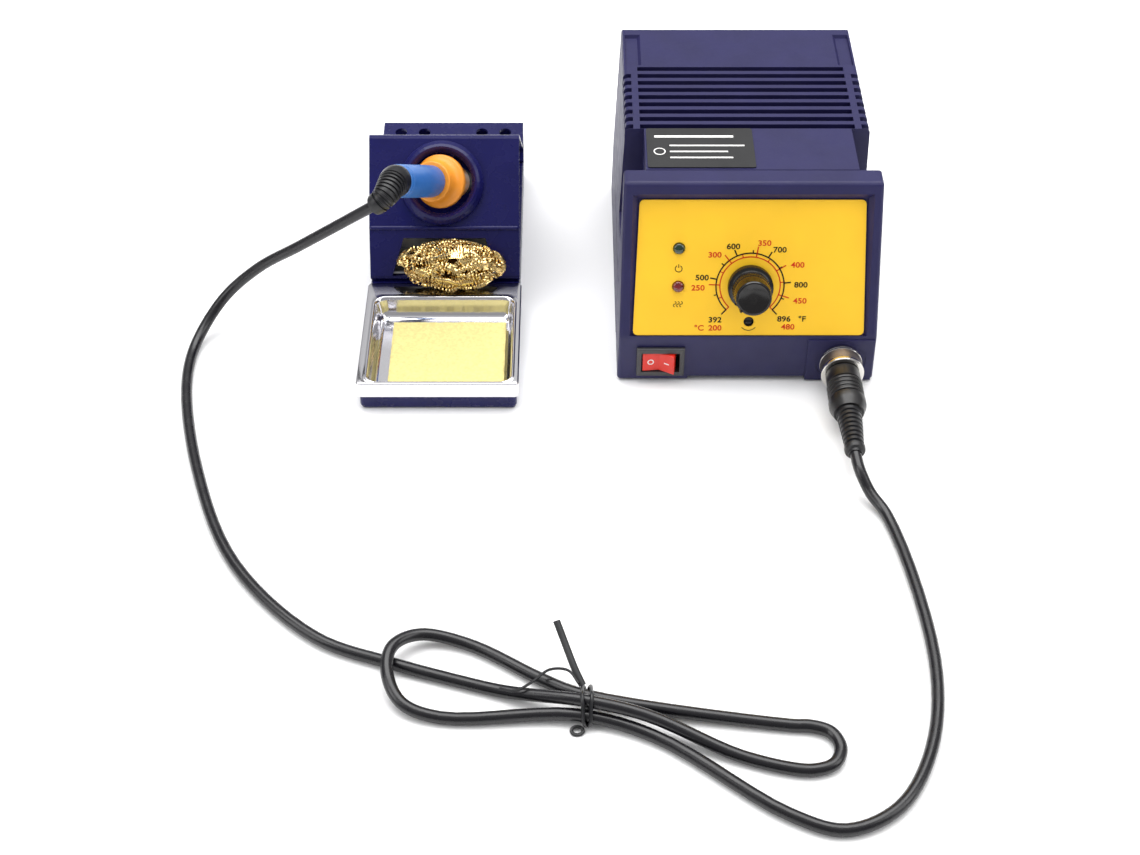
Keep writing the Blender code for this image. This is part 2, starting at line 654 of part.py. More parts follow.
def holder_ring(ring, navy):
    """The moulded ring that the iron's collar drops into."""
    profile = [
        (14.7, -4.0), (14.7, 0.3), (19.7, 0.3), (19.7, 1.6), (19.2, 2.6), (17.8, 4.4), (16.5, 5.2),
        (15.6, 4.6), (14.7, 2.8), (14.1, 1.6), (14.1, -4.0),
    ]
    solid("holder_ring", [turned(profile, 40, ring=True)], navy, ring)


def tray_loop(x0, x1, y0, y1, radius, z, rear_z=None):
    """A rounded rectangle with one more point on each side, where its height may change for the rear."""
    loop = rectangle(x0, x1, y0, y1, radius, z)
    turn = y1 - radius - 1.5
    loop.append(Vector((x0, turn, z)))
    loop.insert(10, Vector((x1, turn, z)))
    for point in loop:
        if rear_z is not None and point.y > turn + 0.1:
            point.z = rear_z
    return loop


def sponge_tray(stand, chrome):
    """The pressed tray: a basin with a rounded foot and a raised edge, and a skirt on three sides."""
    loops = [
        tray_loop(-27.3, 29.6, -87.0, -35.8, 3.0, 6.5),
        tray_loop(-28.6, 30.3, -87.6, -34.4, 3.8, 6.9),
        tray_loop(-29.5, 31.0, -88.0, -33.0, 4.3, 8.2),
        tray_loop(-30.2, 31.5, -88.3, -32.0, 4.6, 11.0),
        tray_loop(-31.0, 32.1, -88.7, -31.0, 4.8, 14.4),
        tray_loop(-31.5, 32.6, -89.2, -30.5, 5.1, 15.6),
        tray_loop(-32.2, 33.2, -89.8, -29.8, 5.4, 16.0),
        tray_loop(-32.9, 33.9, -90.3, -29.0, 5.4, 15.6),
        tray_loop(-35.6, 35.6, -90.7, -19.3, 1.8, 15.5),
        tray_loop(-36.0, 36.0, -91.0, -19.0, 2.0, 15.0),
        tray_loop(-36.0, 36.0, -91.0, -19.0, 2.0, 8.0, 14.75),
        tray_loop(-35.4, 35.4, -90.4, -19.6, 1.6, 8.0, 14.75),
        tray_loop(-35.4, 35.4, -90.4, -19.6, 1.6, 15.0),
        tray_loop(-32.1, 33.1, -89.75, -30.0, 5.4, 15.0),
        tray_loop(-31.5, 32.6, -89.15, -30.5, 5.2, 14.2),
        tray_loop(-30.7, 32.0, -88.75, -31.5, 5.0, 10.8),
        tray_loop(-30.0, 31.5, -88.5, -32.5, 4.7, 7.9),
        tray_loop(-28.9, 30.7, -88.0, -34.0, 4.2, 6.3),
        tray_loop(-27.4, 29.7, -87.1, -35.7, 3.1, 5.95),
    ]
    solid("sponge_tray", [loft(loops)], chrome, stand)


def sponge(stand, yellow):
    loops = [rectangle(-22.6, 29.2, -86.6, -42.5, 2.0, 6.9), rectangle(-22.6, 29.2, -86.6, -42.5, 2.0, 10.9)]
    loops.append(rectangle(-22.1, 28.7, -86.1, -43.0, 1.6, 11.4))
    solid("sponge", [loft(loops)], yellow, stand)


def wool_cup(stand, steel):
    """The small box behind the plate, open at the front, that the brass wool sits in."""
    outline = [(-13.6, 16.6), (6.0, 16.6), (6.0, 34.8), (-4.6, 34.8)]
    cup = solid("wool_cup", [prism_x(outline, 26.0)], steel, stand)
    hollow = [(-30.0, 17.4), (5.2, 17.4), (5.2, 34.0), (-30.0, 34.0)]
    cut(cup, [prism_x(hollow, 25.2)])


def brass_wool(wool, brass):
    """A closed shape round the curled brass ribbon, narrow in the plate's hole and bulging in front."""
    loops = []
    for half_x, half_y, w, x, y in [
        (17.0, 5.0, -4.5, 0.0, 1.0), (18.5, 6.5, -3.0, 0.0, 1.0), (18.5, 6.5, 0.4, 0.0, 1.0),
        (24.5, 9.8, 0.7, 2.5, -0.2), (26.8, 11.2, 5.0, 3.5, -1.5), (25.5, 11.0, 9.0, 4.5, -3.5),
        (18.0, 8.5, 12.5, 5.0, -6.5), (9.0, 4.5, 15.0, 5.0, -8.0),
    ]:
        loops.append(disc(half_x, w, 24, (x, y), squash=half_y / half_x))
    solid("brass_wool", [loft(loops)], brass, wool, 60)


def stand_fittings(stand, rubber, steel):
    """Two rubber strips under the base, and the two screws that hold the plate's front flange."""
    solid("stand_foot_front", [block(-31.0, 31.0, -88.4, -84.0, 0.0, 5.4)], rubber, stand)
    solid("stand_foot_rear", [block(-31.0, 31.0, 85.0, 89.5, 0.0, 12.9)], rubber, stand)
    for name, x in [("stand_screw_left", -30.0), ("stand_screw_right", 30.0)]:
        screw = solid(name, [turned([(2.6, 16.3), (2.6, 17.4), (2.0, 18.0)], 16, (x, -10.0))], steel, stand)
        cut(screw, [block(x - 2.0, x + 2.0, -10.4, -9.6, 17.5, 19.0)])


# ---- Iron ----


def iron_parts(iron, orange, blue, steel, dark, ceramic):
    """The iron along its axis: handle, collar, nut, barrel, heater and tip."""
    collar = [
        (6.8, -16.0), (7.6, -16.0), (8.4, -12.0), (8.4, 0.4), (12.0, 0.6), (12.4, 1.2), (12.4, 3.2), (12.0, 3.8),
        (10.8, 4.3), (9.5, 5.6), (8.8, 8.0), (8.8, 10.4), (9.3, 11.4), (9.3, 12.4), (8.9, 13.0), (6.8, 13.0),
    ]
    solid("grip_collar", [turned(collar, 32, ring=True)], orange, iron)
    handle = [
        (4.5, -10.0), (6.5, -10.0), (6.5, 13.3), (7.1, 13.3), (7.4, 13.7), (7.4, 50.8), (7.1, 51.2), (4.5, 51.2),
    ]
    solid("iron_handle", [turned(handle, 32, ring=True)], blue, iron)
    nut = [(3.4, -24.0), (6.0, -24.0), (6.4, -23.2), (7.2, -17.0), (6.8, -16.3), (3.4, -16.3)]
    solid("barrel_nut", [turned(nut, 24, ring=True)], steel, iron)
    barrel = [(2.6, -50.0), (3.1, -50.0), (3.1, -14.8), (5.9, -14.8), (5.9, -13.8), (2.6, -13.8)]
    solid("iron_barrel", [turned(barrel, 20, ring=True)], steel, iron)
    solid("heater_core", [turned([(1.9, -46.0), (1.9, -11.0)], 16)], ceramic, iron)
    tip = [(0.4, -66.0), (2.4, -57.0), (3.0, -55.0), (3.0, -50.3)]
    solid("iron_tip", [turned(tip, 20)], dark, iron)


def strain_relief(rubber):
    """The bent rubber sleeve at the handle's end."""
    start, first, second, end = [Vector(point) for point in RELIEF_CURVE]
    steps = 14
    path = []
    radii = []
    for i in range(steps + 1):
        t = i / steps
        near_start = start * (1 - t) ** 3 + first * 3 * t * (1 - t) ** 2
        path.append(near_start + second * 3 * t * t * (1 - t) + end * t ** 3)
        radii.append(7.2 - 2.5 * max(0.0, t - 0.08) / 0.92)
    solid("strain_relief", [swept(path, radii, 20)], rubber)


# ---- Plug and cord ----


def plug_parts(plug, steel, rubber):
    """The plug in its socket: the knurled nut that locks it, the shell and the boot."""
    nut = [
        (8.1, 2.1), (9.2, 2.1), (9.6, 2.5), (9.6, 10.2), (9.2, 10.6), (7.0, 10.6), (7.0, 8.6), (8.1, 8.6),
    ]
    solid("plug_nut", [turned(nut, 36, ring=True)], steel, plug)
    shell = [(6.3, 4.0), (6.3, 10.9), (8.2, 10.9)]
    for groove in (15.0, 21.0, 27.0):
        shell += [(8.2, groove), (7.6, groove + 0.4), (7.6, groove + 1.4), (8.2, groove + 1.8)]
    shell += [(8.2, 33.0), (6.8, 36.0)]
    solid("plug_shell", [turned(shell, 28)], rubber, plug)
    boot = [(5.3, 36.3), (4.0, 57.5), (4.5, 57.8), (4.5, 59.6), (4.2, 60.0)]
    solid("plug_boot", [turned(boot, 20)], rubber, plug)


def iron_cord(rubber):
    path = smoothed(CORD_ROUTE, 4)
    solid("iron_cord", [swept(path, [CORD_RADIUS] * len(path), 8)], rubber)
    return path


def twist_tie(path, rubber):
    """A flat band round the three strands of the hank."""
    strands = []
    for a, b in zip(path, path[1:]):
        if (a.x < TIE_X) != (b.x < TIE_X) and a.y < -200:
            strands.append(a.lerp(b, (TIE_X - a.x) / (b.x - a.x)))
    loops = []
    for x, wide, high in [(-1.5, 3.5, 2.8), (1.5, 3.5, 2.8), (1.5, 4.4, 3.7), (-1.5, 4.4, 3.7)]:
        loop = []
        for i in range(36):
            way = Vector((0.0, math.cos(math.tau * i / 36), math.sin(math.tau * i / 36)))
            near = max(strands, key=lambda strand: strand.dot(way))
            loop.append(Vector((TIE_X + x, near.y + wide * way.y, near.z + high * way.z)))
        loops.append(loop)
    solid("twist_tie", [loft(loops, True)], rubber)


def build():
    for old in list(bpy.data.objects):
        bpy.data.objects.remove(old)

    navy = material("navy_plastic", 62, 62, 100, 0.6)
    navy_paint = material("navy_paint", 40, 40, 95, 0.4)
    yellow_print = material("yellow_print", 253, 206, 66, 0.5)
    black = material("black_plastic", 28, 28, 32, 0.35)
    grey_plastic = material("grey_plastic", 70, 70, 70, 0.5)
    red = material("red_plastic", 225, 70, 50, 0.35)
    label_grey = material("label_grey", 75, 75, 75, 0.5)
    rubber = material("dark_rubber", 55, 55, 60, 0.55)
    steel = material("steel", 200, 200, 200, 0.25, 1.0)
    chrome = material("chrome", 225, 225, 225, 0.08, 1.0)
    iron_grey = material("core_steel", 110, 105, 100, 0.5, 1.0)
    copper = material("winding_tape", 190, 150, 70, 0.5)
    green_board = material("green_board", 30, 95, 55, 0.5)
    aluminium = material("aluminium", 190, 190, 190, 0.4, 1.0)
    sponge_yellow = material("sponge_yellow", 248, 240, 160, 0.95)
    brass = material("brass", 210, 175, 95, 0.3, 1.0)
    handle_blue = material("handle_blue", 60, 120, 190, 0.4)
    orange = material("orange_plastic", 235, 160, 70, 0.45)
    white = material("white_ceramic", 235, 232, 225, 0.5)
    lamp_green = material("green_lens", 20, 90, 50, 0.15)
    lamp_red = material("red_lens", 120, 25, 25, 0.15)
    tip_metal = material("tip_metal", 150, 150, 150, 0.35, 1.0)

    station = frame("station", (STATION_X, 0.0, 0.0))
    panel = frame("panel", PANEL_START, station, (PANEL_ANGLE, 0.0, 0.0))
    plug = frame("plug", (STATION_X + CONNECTOR[0], CASE_FRONT, CONNECTOR[1]), None, (math.pi / 2, 0.0, 0.0))
    rear = frame("rear", (0.0, CASE_BACK, 0.0), station, (-math.pi / 2, 0.0, 0.0))
    stand = frame("stand", (STAND_X, 0.0, 0.0))
    ring = frame("ring", RING_CENTRE, None, (RING_ANGLE, 0.0, 0.0))
    wool = frame("wool", (0.0, *WOOL_CENTRE), stand, (WOOL_ANGLE, 0.0, 0.0))
    turn = Vector(IRON_AXIS).to_track_quat("Z", "Y").to_euler()
    iron = frame("iron", IRON_ORIGIN, None, tuple(turn))

    front_bezel(station, panel, plug, navy)
    panel_overlay(panel, yellow_print)
    bottom_case(station, navy)
    top_cover(station, navy)
    rear_panel(station, navy)
    station_feet(station, rubber)
    case_screws(station, steel)
    top_label(station, label_grey)
    power_switch(station, grey_plastic, red)
    lamps(panel, {"power_led": lamp_green, "heater_led": lamp_red})
    temperature_control(panel, black, steel)
    calibration_trimmer(panel, handle_blue, black)
    connector_socket(plug, steel)
    mains_inlet(rear, black, steel)
    mains_fuse(rear, black)
    transformer(station, iron_grey, copper, steel)
    electronics(panel, green_board, aluminium, black)

    stand_base(stand, navy_paint)
    stand_plate(stand, ring, wool, navy_paint)
    holder_ring(ring, navy_paint)
    sponge_tray(stand, chrome)
    sponge(stand, sponge_yellow)
    wool_cup(stand, steel)
    brass_wool(wool, brass)
    stand_fittings(stand, rubber, steel)

    iron_parts(iron, orange, handle_blue, steel, tip_metal, white)
    strain_relief(rubber)
    plug_parts(plug, steel, rubber)
    twist_tie(iron_cord(rubber), rubber)


build()
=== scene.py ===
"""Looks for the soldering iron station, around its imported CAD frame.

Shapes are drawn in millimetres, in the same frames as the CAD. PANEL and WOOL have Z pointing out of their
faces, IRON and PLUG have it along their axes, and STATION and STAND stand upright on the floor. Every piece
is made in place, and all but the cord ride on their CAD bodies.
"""

import math
import random

import bmesh
import bpy
from mathutils import Euler, Matrix, Vector, noise


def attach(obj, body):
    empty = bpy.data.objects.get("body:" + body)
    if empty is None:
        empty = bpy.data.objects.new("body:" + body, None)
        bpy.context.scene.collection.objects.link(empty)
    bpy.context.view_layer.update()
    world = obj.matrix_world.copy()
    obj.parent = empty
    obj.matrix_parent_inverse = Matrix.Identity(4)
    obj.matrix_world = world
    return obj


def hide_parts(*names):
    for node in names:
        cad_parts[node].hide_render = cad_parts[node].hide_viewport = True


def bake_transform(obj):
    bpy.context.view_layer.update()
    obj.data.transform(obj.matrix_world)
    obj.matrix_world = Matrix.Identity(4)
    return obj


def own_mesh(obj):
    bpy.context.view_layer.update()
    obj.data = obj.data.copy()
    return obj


MM = 0.001

# The camera: its place in millimetres, how far it looks down, and its lens on a 36 mm sensor.
CAMERA_PLACE = (-21.3, -691.0, 549.0)
CAMERA_DOWN = math.radians(43.0)
CAMERA_LENS = 57.5

# Half the floor's side, in metres.
FLOOR_REACH = 4

# Frames of the CAD, in millimetres.
STATION_X = 58.0
STAND_X = -80.0
PANEL_PLACE = (58.0, -70.1, 26.2)
PANEL_TURN = math.radians(68.8)
DIAL = (0.0, 22.9)
TRIMMER = (0.0, 6.3)
LAMPS = {"power_led": (-31.6, 40.0), "heater_led": (-31.6, 22.6)}
WOOL_PLACE = (-80.0, -12.6, 25.5)
WOOL_TURN = math.radians(61.2)
IRON_PLACE = (-81.0, 8.0, 54.0)
IRON_AXIS = (-0.319, -0.771, 0.550)
PLUG_PLACE = (100.2, -71.0, 12.6)
RELIEF_CURVE = [(-97.6, -32.1, 82.6), (-99.2, -36.0, 85.4), (-100.0, -47.9, 85.0), (-106.0, -46.0, 80.0)]
KNOB_REST = math.radians(-133)
ROCKER_PLACE = (-38.65, -68.5, 12.2)
ROCKER_REST = math.radians(-11)
PLATE_FOLD = (-5.7, 37.3)

# Thin ink stands this far off the face that it is printed on.
INK_LOW = 0.02
INK_HIGH = 0.08

# Just short of a whole turn, in degrees, so that an arc's two ends don't meet.
FULL_CIRCLE = 359.9

# The dial's scales: both are linear in temperature, and run clockwise from the first angle, in degrees.
DIAL_COLDEST = 200.0
DIAL_HOTTEST = 480.0
DIAL_START = 227.0
DIAL_SWEEP = 274.0
BLACK_SCALE = 15.0
RED_SCALE = 13.3
NUMERAL_SIZE = 3.5

# The brass wool: its strands, those of them that lie on top, and the steps in one turn of a curl.
WOOL_STRANDS = 72
TOP_STRANDS = 14
TURN_STEPS = 12
WOOL_SEED = 7

# The cord's route, as in the CAD, and its facts.
CORD_RADIUS = 2.5
LOWEST_CORD = 2.6
CORD_ROUTE = [
    (-106.5, -45.9, 79.5), (-143.0, -34.5, 49.0), (-165.0, -28.0, 31.0), (-182.0, -30.0, 15.5),
    (-193.0, -46.0, 4.8), (-194.8, -72.0, 2.6), (-181.3, -131.7, 2.6), (-157.6, -187.0, 2.6),
    (-121.0, -225.5, 2.6), (-90.5, -238.5, 2.6), (-48.0, -252.3, 2.9), (-15.0, -261.8, 8.7),
    (8.0, -267.5, 7.0), (41.3, -282.6, 2.8), (61.4, -288.5, 2.6), (69.0, -288.8, 2.6),
    (76.1, -285.9, 2.6), (79.0, -278.8, 2.6), (76.1, -271.7, 2.6), (69.0, -268.8, 2.6),
    (61.4, -268.4, 2.6), (-16.0, -255.2, 3.9), (-33.0, -246.0, 2.6), (-62.0, -228.8, 2.8),
    (-80.0, -226.6, 5.6), (-89.8, -234.5, 8.1), (-91.2, -246.5, 7.2), (-85.2, -258.8, 4.0),
    (-70.0, -264.9, 2.6), (-19.0, -264.6, 3.9), (10.0, -273.5, 2.6), (57.5, -308.3, 2.6),
    (77.0, -315.0, 2.6), (97.0, -305.5, 2.6), (112.5, -279.5, 2.6), (120.0, -236.8, 2.6),
    (111.5, -160.0, 2.9), (105.2, -148.5, 5.8), (101.2, -140.0, 10.9), (100.2, -132.2, 12.6),
]
TIE_X = -15.0

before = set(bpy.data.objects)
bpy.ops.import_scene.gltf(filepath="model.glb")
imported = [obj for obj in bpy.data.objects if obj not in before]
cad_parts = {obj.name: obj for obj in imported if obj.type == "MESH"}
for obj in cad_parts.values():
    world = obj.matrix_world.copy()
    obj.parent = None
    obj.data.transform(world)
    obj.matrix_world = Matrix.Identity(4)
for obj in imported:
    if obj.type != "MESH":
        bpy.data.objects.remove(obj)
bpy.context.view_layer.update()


def place(where, turn_x=0.0):
    """A frame at a point, turned about X."""
    return Matrix.Translation(Vector(where)) @ Euler((turn_x, 0.0, 0.0)).to_matrix().to_4x4()


PANEL = place(PANEL_PLACE, PANEL_TURN)
DIAL_FRAME = PANEL @ Matrix.Translation((*DIAL, 0.0))
WOOL = place(WOOL_PLACE, WOOL_TURN)
PLUG = place(PLUG_PLACE, math.pi / 2)
STAND = place((STAND_X, 0.0, 0.0))
STATION = place((STATION_X, 0.0, 0.0))
IRON = Matrix.Translation(Vector(IRON_PLACE)) @ Vector(IRON_AXIS).to_track_quat("Z", "Y").to_matrix().to_4x4()


# ---- Camera, floor and light ----


def add_camera():
    """The camera at the photograph's viewing angle."""
    data = bpy.data.cameras.new("photo_camera")
    data.lens = CAMERA_LENS
    data.sensor_width = 36.0
    data.clip_end = 20.0
    camera = bpy.data.objects.new("photo_camera", data)
    camera.location = Vector(CAMERA_PLACE) * MM
    camera.rotation_euler = (math.pi / 2 - CAMERA_DOWN, 0.0, 0.0)
    bpy.context.collection.objects.link(camera)
    bpy.context.scene.camera = camera


def add_floor():
    """A plain pale floor."""
    mesh = bpy.data.meshes.new("floor")
    reach = FLOOR_REACH
    corners = [(-reach, -reach, 0), (reach, -reach, 0), (reach, reach, 0), (-reach, reach, 0)]
    mesh.from_pydata(corners, [], [(0, 1, 2, 3)])
    floor = bpy.data.objects.new("floor", mesh)
    bpy.context.collection.objects.link(floor)
    floor.data.materials.append(plain("floor_paper", (252, 252, 252), 0.9))


def add_light(name, where, aim, size, power):
    """A rectangular area light, placed and sized in metres."""
    data = bpy.data.lights.new(name, "AREA")
    data.shape = "RECTANGLE"
    data.size = size[0]
    data.size_y = size[1]
    data.energy = power
    light = bpy.data.objects.new(name, data)
    light.location = where
    light.rotation_euler = (Vector(aim) - Vector(where)).to_track_quat("-Z", "Y").to_euler()
    bpy.context.collection.objects.link(light)


def add_lights():
    """A broad overhead softbox and a weaker one on each side."""
    add_light("overhead", (0.0, 0.35, 1.5), (0.0, -0.05, 0.0), (1.8, 1.2), 30.0)
    add_light("left_softbox", (-1.3, -0.5, 0.9), (0.0, -0.05, 0.05), (0.7, 1.1), 7.0)
    add_light("right_softbox", (1.3, -0.4, 0.9), (0.0, -0.05, 0.05), (0.7, 1.1), 7.0)


def add_surround():
    """A pale world, bright overhead and behind, and dimmer low down and towards the camera."""
    world = bpy.data.worlds.new("pale_studio")
    world.use_nodes = True
    tree = world.node_tree
    where = tree.nodes.new("ShaderNodeTexCoord")
    facing = tree.nodes.new("ShaderNodeVectorMath")
    facing.operation = "DOT_PRODUCT"
    facing.inputs[1].default_value = (0.0, 0.25, 1.0)
    tree.links.new(where.outputs["Generated"], facing.inputs[0])
    ramp = tree.nodes.new("ShaderNodeValToRGB")
    ramp.color_ramp.elements[0].position = 0.55
    ramp.color_ramp.elements[0].color = (0.45, 0.45, 0.46, 1.0)
    ramp.color_ramp.elements[1].position = 0.95
    ramp.color_ramp.elements[1].color = (1.0, 1.0, 1.0, 1.0)
    tree.links.new(facing.outputs["Value"], ramp.inputs["Fac"])
    tree.links.new(ramp.outputs["Color"], tree.nodes["Background"].inputs["Color"])
    tree.nodes["Background"].inputs["Strength"].default_value = 0.9
    bpy.context.scene.world = world


# ---- Materials ----


def linear(colour):
    """A colour of 0 to 255 as the shader takes it."""
    return tuple((value / 255) ** 2.2 for value in colour)


def plain(name, colour, roughness, metallic=0.0, gloss=0.5):
    """A material with one colour, which the helpers below add detail to."""
    made = bpy.data.materials.new(name)
    made.use_nodes = True
    shader = made.node_tree.nodes["Principled BSDF"]
    shader.inputs["Specular IOR Level"].default_value = gloss
    shader.inputs["Base Color"].default_value = (*linear(colour), 1.0)
    shader.inputs["Roughness"].default_value = roughness
    shader.inputs["Metallic"].default_value = metallic
    return made


def add_noise(made, size, detail=2.0):
    """A noise texture in the object's own space, with features of about this size in millimetres."""
    tree = made.node_tree
    where = tree.nodes.get("Texture Coordinate") or tree.nodes.new("ShaderNodeTexCoord")
    texture = tree.nodes.new("ShaderNodeTexNoise")
    texture.inputs["Scale"].default_value = 1.0 / (size * MM)
    texture.inputs["Detail"].default_value = detail
    tree.links.new(where.outputs["Object"], texture.inputs["Vector"])
    return texture


def vary_colour(made, size, dark, light, detail=2.0):
    """Mixes the base colour between two shades of itself."""
    tree = made.node_tree
    shader = tree.nodes["Principled BSDF"]
    base = shader.inputs["Base Color"].default_value[:3]
    ramp = tree.nodes.new("ShaderNodeValToRGB")
    ramp.color_ramp.elements[0].position = 0.35
    ramp.color_ramp.elements[1].position = 0.65
    ramp.color_ramp.elements[0].color = (*[min(1.0, value * dark) for value in base], 1.0)
    ramp.color_ramp.elements[1].color = (*[min(1.0, value * light) for value in base], 1.0)
    tree.links.new(add_noise(made, size, detail).outputs["Fac"], ramp.inputs["Fac"])
    tree.links.new(ramp.outputs["Color"], shader.inputs["Base Color"])


def vary_roughness(made, size, low, high, detail=3.0):
    """Lets the roughness drift between two values."""
    tree = made.node_tree
    shader = tree.nodes["Principled BSDF"]
    spread = tree.nodes.new("ShaderNodeMapRange")
    spread.inputs["From Min"].default_value = 0.3
    spread.inputs["From Max"].default_value = 0.7
    spread.inputs["To Min"].default_value = low
    spread.inputs["To Max"].default_value = high
    tree.links.new(add_noise(made, size, detail).outputs["Fac"], spread.inputs["Value"])
    tree.links.new(spread.outputs["Result"], shader.inputs["Roughness"])


def add_bump(made, size, depth, strength=1.0, detail=2.0):
    """Grain of about this size and depth in millimetres."""
    tree = made.node_tree
    shader = tree.nodes["Principled BSDF"]
    bump = tree.nodes.new("ShaderNodeBump")
    bump.inputs["Strength"].default_value = strength
    bump.inputs["Distance"].default_value = depth * MM
    tree.links.new(add_noise(made, size, detail).outputs["Fac"], bump.inputs["Height"])
    tree.links.new(bump.outputs["Normal"], shader.inputs["Normal"])


def moulded(name, colour, roughness, grain=0.35, depth=0.03, shades=(0.93, 1.07), gloss=0.5):
    """Moulded plastic: a fine grain, slightly uneven gloss and a faint drift of colour."""
    made = plain(name, colour, roughness, gloss=gloss)
    vary_colour(made, 18.0, *shades)
    vary_roughness(made, 6.0, roughness - 0.06, roughness + 0.06)
    add_bump(made, grain, depth)
    return made


def metal(name, colour, roughness, grain=0.5, depth=0.01, spread=0.05):
    """Bare or plated metal: uneven gloss and a faint grain."""
    made = plain(name, colour, roughness, 1.0)
    vary_roughness(made, 3.0, max(0.02, roughness - spread), roughness + spread)
    add_bump(made, grain, depth, 0.6)
    return made


def sponge_material():
    """Cellulose: a speckled yellow with open pores."""
    made = plain("sponge_cellulose", (221, 207, 138), 0.95, gloss=0.2)
    vary_colour(made, 1.3, 0.9, 1.06, 4.0)
    tree = made.node_tree
    where = tree.nodes["Texture Coordinate"]
    pores = tree.nodes.new("ShaderNodeTexVoronoi")
    pores.inputs["Scale"].default_value = 1.0 / (0.9 * MM)
    tree.links.new(where.outputs["Object"], pores.inputs["Vector"])
    bump = tree.nodes.new("ShaderNodeBump")
    bump.inputs["Strength"].default_value = 0.4
    bump.inputs["Distance"].default_value = 0.3 * MM
    tree.links.new(pores.outputs["Distance"], bump.inputs["Height"])
    tree.links.new(bump.outputs["Normal"], tree.nodes["Principled BSDF"].inputs["Normal"])
    tree.nodes["Principled BSDF"].inputs["Subsurface Weight"].default_value = 0.1
    tree.nodes["Principled BSDF"].inputs["Subsurface Radius"].default_value = (0.002, 0.002, 0.001)
    return made


def lens(name, colour):
    """Dark tinted plastic under a clear skin, as on a lamp that is off."""
    made = plain(name, colour, 0.08)
    shader = made.node_tree.nodes["Principled BSDF"]
    shader.inputs["Coat Weight"].default_value = 1.0
    shader.inputs["Coat Roughness"].default_value = 0.04
    shader.inputs["Transmission Weight"].default_value = 0.1
    vary_colour(made, 2.0, 0.7, 1.2)
    return made


# ---- Shapes, in millimetres ----


def disc(radius, height, count=64, centre=(0.0, 0.0), waves=0, depth=0.0):
    """A round loop, whose edge may be ribbed with a number of waves."""
    points = []
    for i in range(count):
        angle = math.tau * i / count
        reach = radius + (depth * math.cos(waves * angle) if waves else 0.0)
        x = centre[0] + reach * math.cos(angle)
        y = centre[1] + reach * math.sin(angle)
        points.append(Vector((x, y, height)))
    return points


def rectangle(x0, x1, y0, y1, radius, height, steps=8):
    """A loop with four rounded corners."""
    corners = [(x0, y0, 180), (x1, y0, 270), (x1, y1, 0), (x0, y1, 90)]
    points = []
    for x, y, start in corners:
        centre_x = x + radius * (1 if x == x0 else -1)
        centre_y = y + radius * (1 if y == y0 else -1)
        for i in range(steps + 1):
            angle = math.radians(start + 90 * i / steps)
            x_at = centre_x + radius * math.cos(angle)
            y_at = centre_y + radius * math.sin(angle)
            points.append(Vector((x_at, y_at, height)))
    return points


def loft(loops, ring=False):
    """A closed skin over a row of loops, capped at both ends, or joined end to end with ring."""
    shape = bmesh.new()
    rows = [[shape.verts.new(point) for point in loop] for loop in loops]
    pairs = list(zip(rows, rows[1:]))
    if ring:
        pairs.append((rows[-1], rows[0]))
    for low, high in pairs:
        for i in range(len(low)):
            j = (i + 1) % len(low)
            shape.faces.new((low[i], low[j], high[j], high[i]))
    if not ring:
        shape.faces.new(rows[0][::-1])
        shape.faces.new(rows[-1])
    bmesh.ops.recalc_face_normals(shape, faces=shape.faces)
    return shape


def turned(profile, count=64, centre=(0.0, 0.0), ring=False):
    """A round shape from its profile, a list of radius and height."""
    return loft([disc(radius, height, count, centre) for radius, height in profile], ring)


def block(x0, x1, y0, y1, z0, z1):
    """A small bar with square edges."""
    low = [Vector((x, y, z0)) for x, y in [(x0, y0), (x1, y0), (x1, y1), (x0, y1)]]
    return loft([low, [point + Vector((0.0, 0.0, z1 - z0)) for point in low]])


def swept(path, radii, count, squash=1.0, up_hint=None, ring=False):
    """A round or flattened bar along the path. With ring, it closes on itself."""
    loops = []
    side = up_hint
    last = len(path) - 1
    for i, point in enumerate(path):
        before = path[i - 1] if (i > 0 or ring) else path[0]
        after = path[(i + 1) % len(path)] if (i < last or ring) else path[last]
        ahead = (after - before).normalized()
        if side is None:
            side = ahead.orthogonal()
        side = (side - ahead * side.dot(ahead)).normalized()
        up = ahead.cross(side)
        radius = radii[i] if isinstance(radii, list) else radii
        loop = []
        for j in range(count):
            angle = math.tau * j / count
            loop.append(point + radius * (side * math.cos(angle) + squash * up * math.sin(angle)))
        loops.append(loop)
    return loft(loops, ring)


def smoothed(route, steps, lowest=LOWEST_CORD):
    """Points along a centripetal Catmull-Rom curve through the route, none below the lowest height."""
    points = [Vector(point) for point in route]
    points = [2 * points[0] - points[1]] + points + [2 * points[-1] - points[-2]]
    path = []
    for i in range(1, len(points) - 2):
        a, b, c, d = points[i - 1 : i + 3]
        t1 = (b - a).length ** 0.5
        t2 = t1 + (c - b).length ** 0.5
        t3 = t2 + (d - c).length ** 0.5
        for step in range(steps):
            t = t1 + (t2 - t1) * step / steps
            first = a.lerp(b, t / t1)
            second = b.lerp(c, (t - t1) / (t2 - t1))
            third = c.lerp(d, (t - t2) / (t3 - t2))
            early = first.lerp(second, t / t2)
            late = second.lerp(third, (t - t1) / (t3 - t1))
            path.append(early.lerp(late, (t - t1) / (t2 - t1)))
    path.append(points[-2])
    for point in path:
        point.z = max(point.z, lowest)
    return path


# ---- Pieces ----


